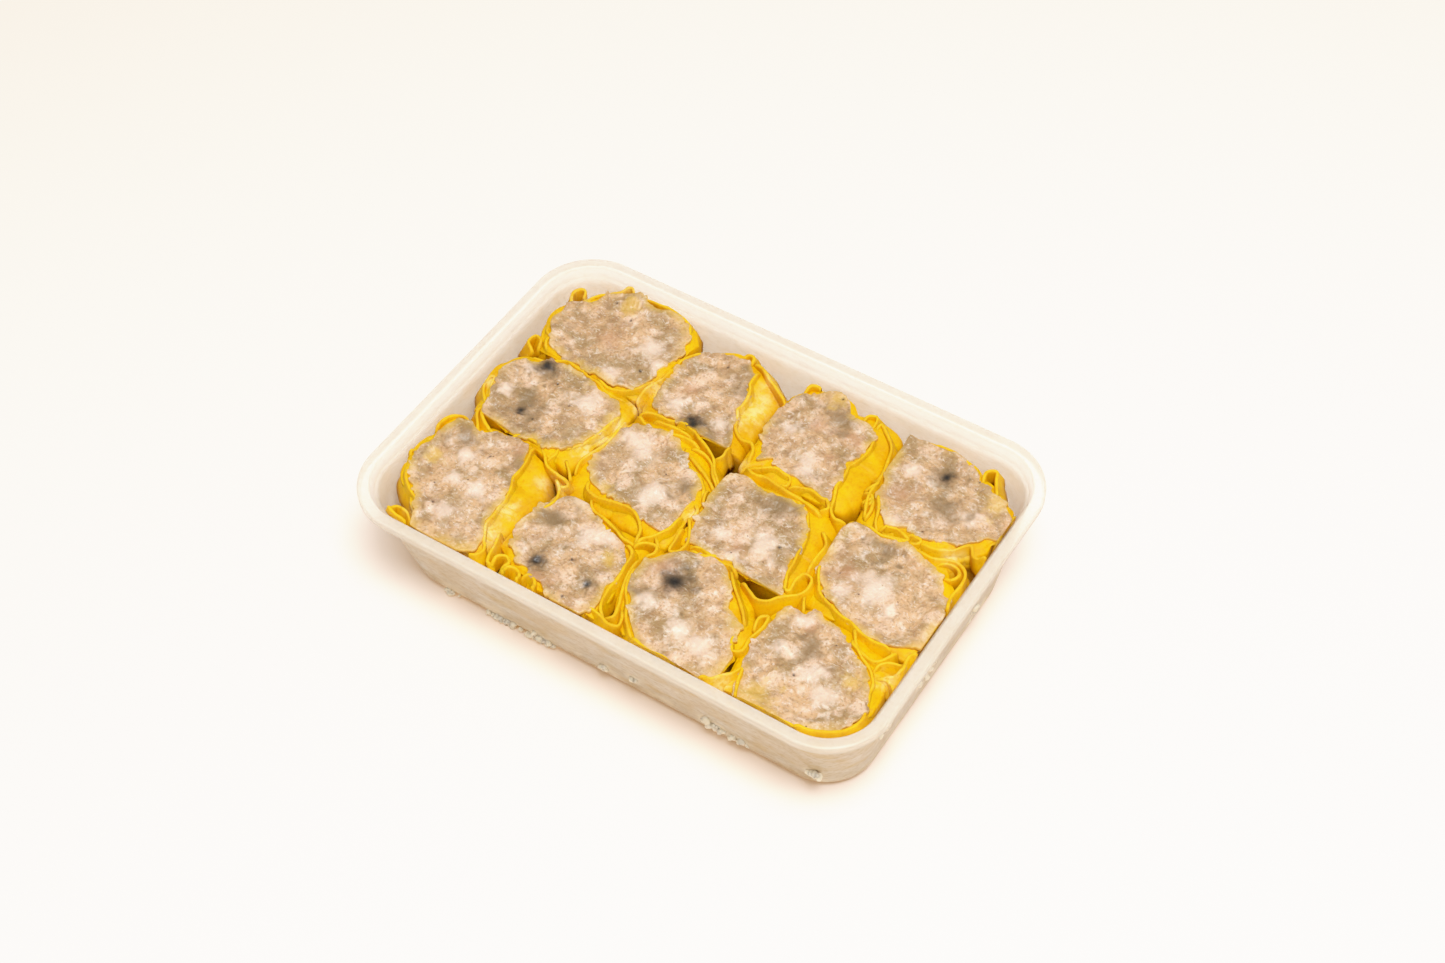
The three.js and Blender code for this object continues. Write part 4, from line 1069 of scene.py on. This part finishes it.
def polypropylene():
    """Natural polypropylene, injection moulded: milky, so what touches a wall shows faintly through it, and
    the rim's thick edges are drawn as darker lines. The outer wall and the skirt are denser. The wall has
    level streaks, a patchy yellow stain from the dough behind it and a fine rubbed mottle. Its foot is
    darkened with painted shade, for the shadow close by the floor, and hides most. Frost on it is pale,
    rougher and nearly opaque."""
    material, tree = bare_material("natural_polypropylene_moulded")
    place = add(tree, "TexCoord", {}, output="Object")
    frost, edge, wall, shaded_foot, dense = [
        add(tree, "Attribute", {}, {"attribute_name": mask}, "Fac")
        for mask in ("frost", "edge", "wall", "shaded_foot", "dense")]
    level = add(tree, "Mapping", {"Vector": place, "Scale": (1.0, 1.0, 2.6)})
    flat = add(tree, "Mapping", {"Vector": place, "Scale": (1.0, 1.0, 1.5)})
    streak = add(tree, "TexNoise", {"Vector": level, "Scale": per(9), "Detail": 4.0, "Roughness": 0.6})
    blot = add(tree, "TexNoise", {"Vector": flat, "Scale": per(10), "Detail": 6.0, "Distortion": 0.3})
    grain = add(tree, "TexNoise", {"Vector": level, "Scale": per(1.6), "Detail": 3.0})
    colour = linear("#F7EFE0")
    # Streaks, stain and mottle, on the wall alone, then the foot's painted shade and the thick edges, then
    # frost.
    for pattern, low, high, most, code in ((streak, 0.1, 0.88, 1.0, "#D2B684"),
                                           (blot, 0.42, 0.75, 0.45, "#E0B450"),
                                           (grain, 0.48, 0.66, 0.5, "#B8985C")):
        shown = add(tree, "MapRange", {"Value": pattern, "From Min": low, "From Max": high,
                                       "To Max": most}, SOFT)
        amount = add(tree, "Math", {0: shown, 1: wall}, TIMES)
        colour = add(tree, "Mix", {0: amount, 6: colour, 7: linear(code)}, COLOUR, 2)
    # The foot's colour is painted shade, for the shadow that falls on the wall close to the floor.
    for mask, most, code in ((shaded_foot, 0.75, "#9C7C3E"), (edge, 0.4, "#C4B294")):
        amount = add(tree, "Math", {0: mask, 1: most}, TIMES)
        colour = add(tree, "Mix", {0: amount, 6: colour, 7: linear(code)}, COLOUR, 2)
    colour = add(tree, "Mix", {0: frost, 6: colour, 7: linear("#F0E0C2")}, COLOUR, 2)
    alpha = 0.28
    for mask, most in ((dense, 0.68), (edge, 0.6), (shaded_foot, 1.0), (frost, 0.95)):
        alpha = add(tree, "MapRange", {"Value": mask, "To Min": alpha, "To Max": most})
    roughness = add(tree, "MapRange", {"Value": frost, "To Min": 0.3, "To Max": 0.6})
    bump = add(tree, "Bump", {"Height": grain, "Strength": 0.2, "Distance": 0.2 * MM})
    surface = add(tree, "BsdfPrincipled", {
        "Base Color": colour, "Roughness": roughness, "Normal": bump, "Alpha": alpha, "IOR": 1.49,
        "Subsurface Weight": 0.6, "Subsurface Radius": (1.0, 1.0, 1.0), "Subsurface Scale": 1.2 * MM})
    add(tree, "OutputMaterial", {"Surface": surface})
    return material


def dough():
    """Egg dough, rolled thin and dusted with flour: satin yellow, paler at cut edges, where a painted
    highlight also lies along the tops of the rim and folds, and paler where dust or frost lies; darker in its
    pores, and with painted shade in the folds low down between the dumplings; and a little light goes through
    it. The pores are drawn coarser than they are, so that they show."""
    material, tree = bare_material("egg_dough_rolled")
    place = add(tree, "TexCoord", {}, output="Object")
    pale, painted_fold_shade, cut_edge_and_highlight = [add(tree, "Attribute", {}, {"attribute_name": mask}, "Fac")
                       for mask in ("pale", "painted_fold_shade", "cut_edge_and_highlight")]
    drift = add(tree, "TexNoise", {"Vector": place, "Scale": per(8), "Detail": 3.0, "Distortion": 0.6})
    fine = add(tree, "TexNoise", {"Vector": place, "Scale": per(2.6), "Detail": 4.0, "Distortion": 1.0})
    grain = add(tree, "TexNoise", {"Vector": place, "Scale": per(1), "Detail": 5.0, "Roughness": 0.65})
    depth, flour, mottle, pore = [
        add(tree, "MapRange", {"Value": pattern, "From Min": low, "From Max": high, "To Min": least,
                               "To Max": most}, SOFT)
        for pattern, low, high, least, most in ((drift, 0.32, 0.66, 0.0, 1.0), (fine, 0.56, 0.74, 0.0, 0.15),
                                                (fine, 0.36, 0.58, 0.25, 1.0), (grain, 0.5, 0.32, 0.0, 0.4))]
    # The cut-edge amount is partly a paler cut edge and partly a painted highlight along the tops of the rim
    # and folds.
    dust, fold_shade_amount, cut_and_highlight_amount = [add(tree, "Math", {0: mask, 1: share}, TIMES)
                       for mask, share in ((pale, mottle), (painted_fold_shade, 0.7), (cut_edge_and_highlight, 0.18))]
    colour = linear("#D49800")
    # The dark brown #A87000 mixed in low down is painted shade in the folds between the dumplings.
    for amount, code in ((depth, "#E6AD00"), (flour, "#EEBE40"), (dust, "#F3CC78"), (fold_shade_amount, "#A87000"),
                         (cut_and_highlight_amount, "#F2C440"), (pore, "#B97C00")):
        colour = add(tree, "Mix", {0: amount, 6: colour, 7: linear(code)}, COLOUR, 2)
    roughness = add(tree, "MapRange", {"Value": grain, "From Min": 0.3, "From Max": 0.7,
                                       "To Min": 0.42, "To Max": 0.62})
    bump = add(tree, "Bump", {"Height": grain, "Strength": 0.45, "Distance": 0.2 * MM})
    surface = add(tree, "BsdfPrincipled", {
        "Base Color": colour, "Roughness": roughness, "Normal": bump, "Specular IOR Level": 0.12,
        "Subsurface Weight": 0.3, "Subsurface Radius": (1.6, 1.1, 0.1), "Subsurface Scale": 1.5 * MM})
    add(tree, "OutputMaterial", {"Surface": surface})
    return material


def mince():
    """Raw minced pork with back fat and mushroom, pressed flat and half frozen: a cloudy pinkish beige with
    pale soft lumps, threads of fat, grey and brown patches, small pits and specks of pepper, under a damp
    shine."""
    material, tree = bare_material("pork_mince_raw")
    place = add(tree, "TexCoord", {}, output="Object")
    cloud = add(tree, "TexNoise", {"Vector": place, "Scale": per(8), "Detail": 4.0, "Distortion": 0.4})
    drift = add(tree, "TexNoise", {"Vector": place, "Scale": per(3.5), "Detail": 3.0}, output="Color")
    strayed = add(tree, "VectorMath", {0: drift, 1: (4.5 * MM,) * 3, 2: place}, {"operation": "MULTIPLY_ADD"})
    swirl = add(tree, "TexNoise", {"Vector": place, "Scale": per(3.2), "Detail": 5.0, "Roughness": 0.58,
                                   "Distortion": 0.9})
    pit = add(tree, "TexNoise", {"Vector": place, "Scale": per(0.8), "Detail": 3.0})
    depth = add(tree, "MapRange", {"Value": cloud, "From Min": 0.36, "From Max": 0.62}, SOFT)
    colour = add(tree, "Mix", {0: depth, 6: linear("#9A7A50"), 7: linear("#CC9E72")}, COLOUR, 2)
    for size, code, strength in LUMPS:
        lump, draw = [add(tree, "TexVoronoi", {"Vector": strayed, "Scale": per(size)}, output=read)
                      for read in ("Distance", "Color")]
        mound = add(tree, "MapRange", {"Value": lump, "From Min": 0.6, "From Max": 0.22}, SOFT)
        chosen = add(tree, "MapRange", {"Value": draw, "From Min": 0.5, "From Max": 0.62, "To Max": strength})
        amount = add(tree, "Math", {0: mound, 1: chosen}, TIMES)
        colour = add(tree, "Mix", {0: amount, 6: colour, 7: linear(code)}, COLOUR, 2)
    # Pale and dark swirls and pits, then threads of fat in two directions, then the marks.
    for pattern, low, high, most, code in ((swirl, 0.52, 0.72, 0.5, "#F4DCC6"),
                                           (swirl, 0.47, 0.3, 0.52, "#896745"),
                                           (pit, 0.52, 0.3, 0.55, "#84613B")):
        amount = add(tree, "MapRange", {"Value": pattern, "From Min": low, "From Max": high,
                                        "To Max": most}, SOFT)
        colour = add(tree, "Mix", {0: amount, 6: colour, 7: linear(code)}, COLOUR, 2)
    for turned_by, size in ((0.6, 2.6), (-0.9, 3.2)):
        drawn = add(tree, "Mapping", {"Vector": strayed, "Rotation": (0.0, 0.0, turned_by),
                                      "Scale": (1.0, 5.0, 5.0)})
        fibre = add(tree, "TexNoise", {"Vector": drawn, "Scale": per(size), "Detail": 2.0})
        amount = add(tree, "MapRange", {"Value": fibre, "From Min": 0.6, "From Max": 0.74,
                                        "To Max": 0.4}, SOFT)
        colour = add(tree, "Mix", {0: amount, 6: colour, 7: linear("#F6E4D2")}, COLOUR, 2)
    # The side mark's yellow is partly painted light in the shaded crevice under the filling's edge.
    for mark, code, strength in MARK_COLOURS:
        seen = add(tree, "Attribute", {}, {"attribute_name": mark}, "Fac")
        amount = add(tree, "Math", {0: seen, 1: strength}, TIMES)
        colour = add(tree, "Mix", {0: amount, 6: colour, 7: linear(code)}, COLOUR, 2)
    cell = add(tree, "TexVoronoi", {"Vector": place, "Scale": per(7)}, output="Distance")
    speck = add(tree, "MapRange", {"Value": cell, "From Min": 0.03, "From Max": 0.05,
                                   "To Min": 0.85, "To Max": 0.0}, SOFT)
    peppered = add(tree, "Mix", {0: speck, 6: colour, 7: linear("#4A3527")}, COLOUR, 2)
    grain = add(tree, "TexNoise", {"Vector": place, "Scale": per(0.8), "Detail": 4.0})
    roughness = add(tree, "MapRange", {"Value": grain, "From Min": 0.35, "From Max": 0.65,
                                       "To Min": 0.32, "To Max": 0.62})
    bump = add(tree, "Bump", {"Height": grain, "Strength": 0.55, "Distance": 0.25 * MM})
    surface = add(tree, "BsdfPrincipled", {
        "Base Color": peppered, "Roughness": roughness, "Normal": bump, "Subsurface Weight": 0.2,
        "Subsurface Radius": (1.5, 0.8, 0.5), "Subsurface Scale": 1.5 * MM})
    add(tree, "OutputMaterial", {"Surface": surface})
    return material


# ---------------------------------------------------------------- stage, light and camera

# What the lit sheet reflects and what it gives off, as linear colours, and half its size in metres.
FLOOR_REFLECTED = (0.86, 0.785, 0.74, 1)
FLOOR_GLOW = (0.18, 0.09, 0.02, 1)
FLOOR_HALF = 3.0

CAMERA_PLACE = (230.65, -324.85, 521.31)
CAMERA_AZIMUTH = 34.456
CAMERA_ELEVATION = 50.415
CAMERA_ROLL = -1.976
LENS = 55.06
SENSOR = 36
CLIP_START = 0.01

# The softbox, in metres and watts, and the room's own light.
KEY_PLACE = (0.31, -0.24, 1.15)
KEY_SIZE = 0.42
KEY_POWER = 16
ROOM_STRENGTH = 0.385


def backdrop():
    """A white acrylic sheet lit from below: it gives off a little warm light, so the shadow on it is soft
    and warm."""
    material, tree = bare_material("lit_white_acrylic")
    surface = add(tree, "BsdfPrincipled", {
        "Base Color": FLOOR_REFLECTED, "Roughness": 0.9, "Specular IOR Level": 0.0,
        "Emission Color": FLOOR_GLOW, "Emission Strength": 1.0})
    add(tree, "OutputMaterial", {"Surface": surface})
    return material


def make_camera():
    """The camera turned to an azimuth, an elevation and a small roll about its own view line."""
    azimuth, elevation, roll = [x * DEGREE for x in (CAMERA_AZIMUTH, CAMERA_ELEVATION, CAMERA_ROLL)]
    back = Vector((math.sin(azimuth) * math.cos(elevation), -math.cos(azimuth) * math.cos(elevation),
                   math.sin(elevation)))
    level = Vector((math.cos(azimuth), math.sin(azimuth), 0))
    upright = back.cross(level)
    right = level * math.cos(roll) + upright * math.sin(roll)
    up = upright * math.cos(roll) - level * math.sin(roll)
    data = bpy.data.cameras.new("camera")
    data.lens = LENS
    data.sensor_width = SENSOR
    data.clip_start = CLIP_START
    camera = bpy.data.objects.new("camera", data)
    camera.matrix_world = Matrix.Translation(Vector(CAMERA_PLACE) * MM) @ Matrix(
        (right, up, back)).transposed().to_4x4()
    bpy.context.scene.collection.objects.link(camera)
    bpy.context.scene.camera = camera


def make_floor():
    """A wide flat card under the tub."""
    corners = [(x * FLOOR_HALF, y * FLOOR_HALF, 0) for x, y in ((-1, -1), (1, -1), (1, 1), (-1, 1))]
    mesh = bpy.data.meshes.new("floor")
    mesh.from_pydata(corners, [], [(0, 1, 2, 3)])
    mesh.materials.append(backdrop())
    floor = bpy.data.objects.new("floor", mesh)
    bpy.context.scene.collection.objects.link(floor)


def make_light():
    """An even pale room and a square softbox aimed at the tub from high above, a little in front and to the
    right, so that the shadow lies close round the tub."""
    world = bpy.data.worlds.new("room")
    world.use_nodes = True
    world.node_tree.nodes["Background"].inputs["Color"].default_value = linear("#FFFFFF")
    world.node_tree.nodes["Background"].inputs["Strength"].default_value = ROOM_STRENGTH
    bpy.context.scene.world = world
    data = bpy.data.lights.new("key", "AREA")
    data.size = KEY_SIZE
    data.energy = KEY_POWER
    lamp = bpy.data.objects.new("key", data)
    lamp.location = KEY_PLACE
    lamp.rotation_euler = (-Vector(KEY_PLACE)).to_track_quat("-Z", "Y").to_euler()
    bpy.context.scene.collection.objects.link(lamp)


# The exposure's curve: light given and shown, and where it ends.
ROLL_OFF = [(0.85, 0.84), (1.0, 0.925), (1.15, 0.955)]
WHITE = (1.5, 0.98)


def make_exposure():
    """A high-key exposure: what is brighter than white rolls off softly."""
    view = bpy.context.scene.view_settings
    view.view_transform = "Standard"
    view.use_curve_mapping = True
    mapping = view.curve_mapping
    mapping.white_level = (WHITE[0],) * 3
    curve = mapping.curves[3]
    curve.points[-1].location = (1, WHITE[1])
    for given, shown in ROLL_OFF:
        curve.points.new(given / WHITE[0], shown)
    mapping.update()


make_camera()
make_light()
make_exposure()
make_floor()
FINISHES = {"dough": dough(), "mince": mince()}
make_tub()
for row in DUMPLINGS:
    make_wrapper(row)
    make_filling(row)
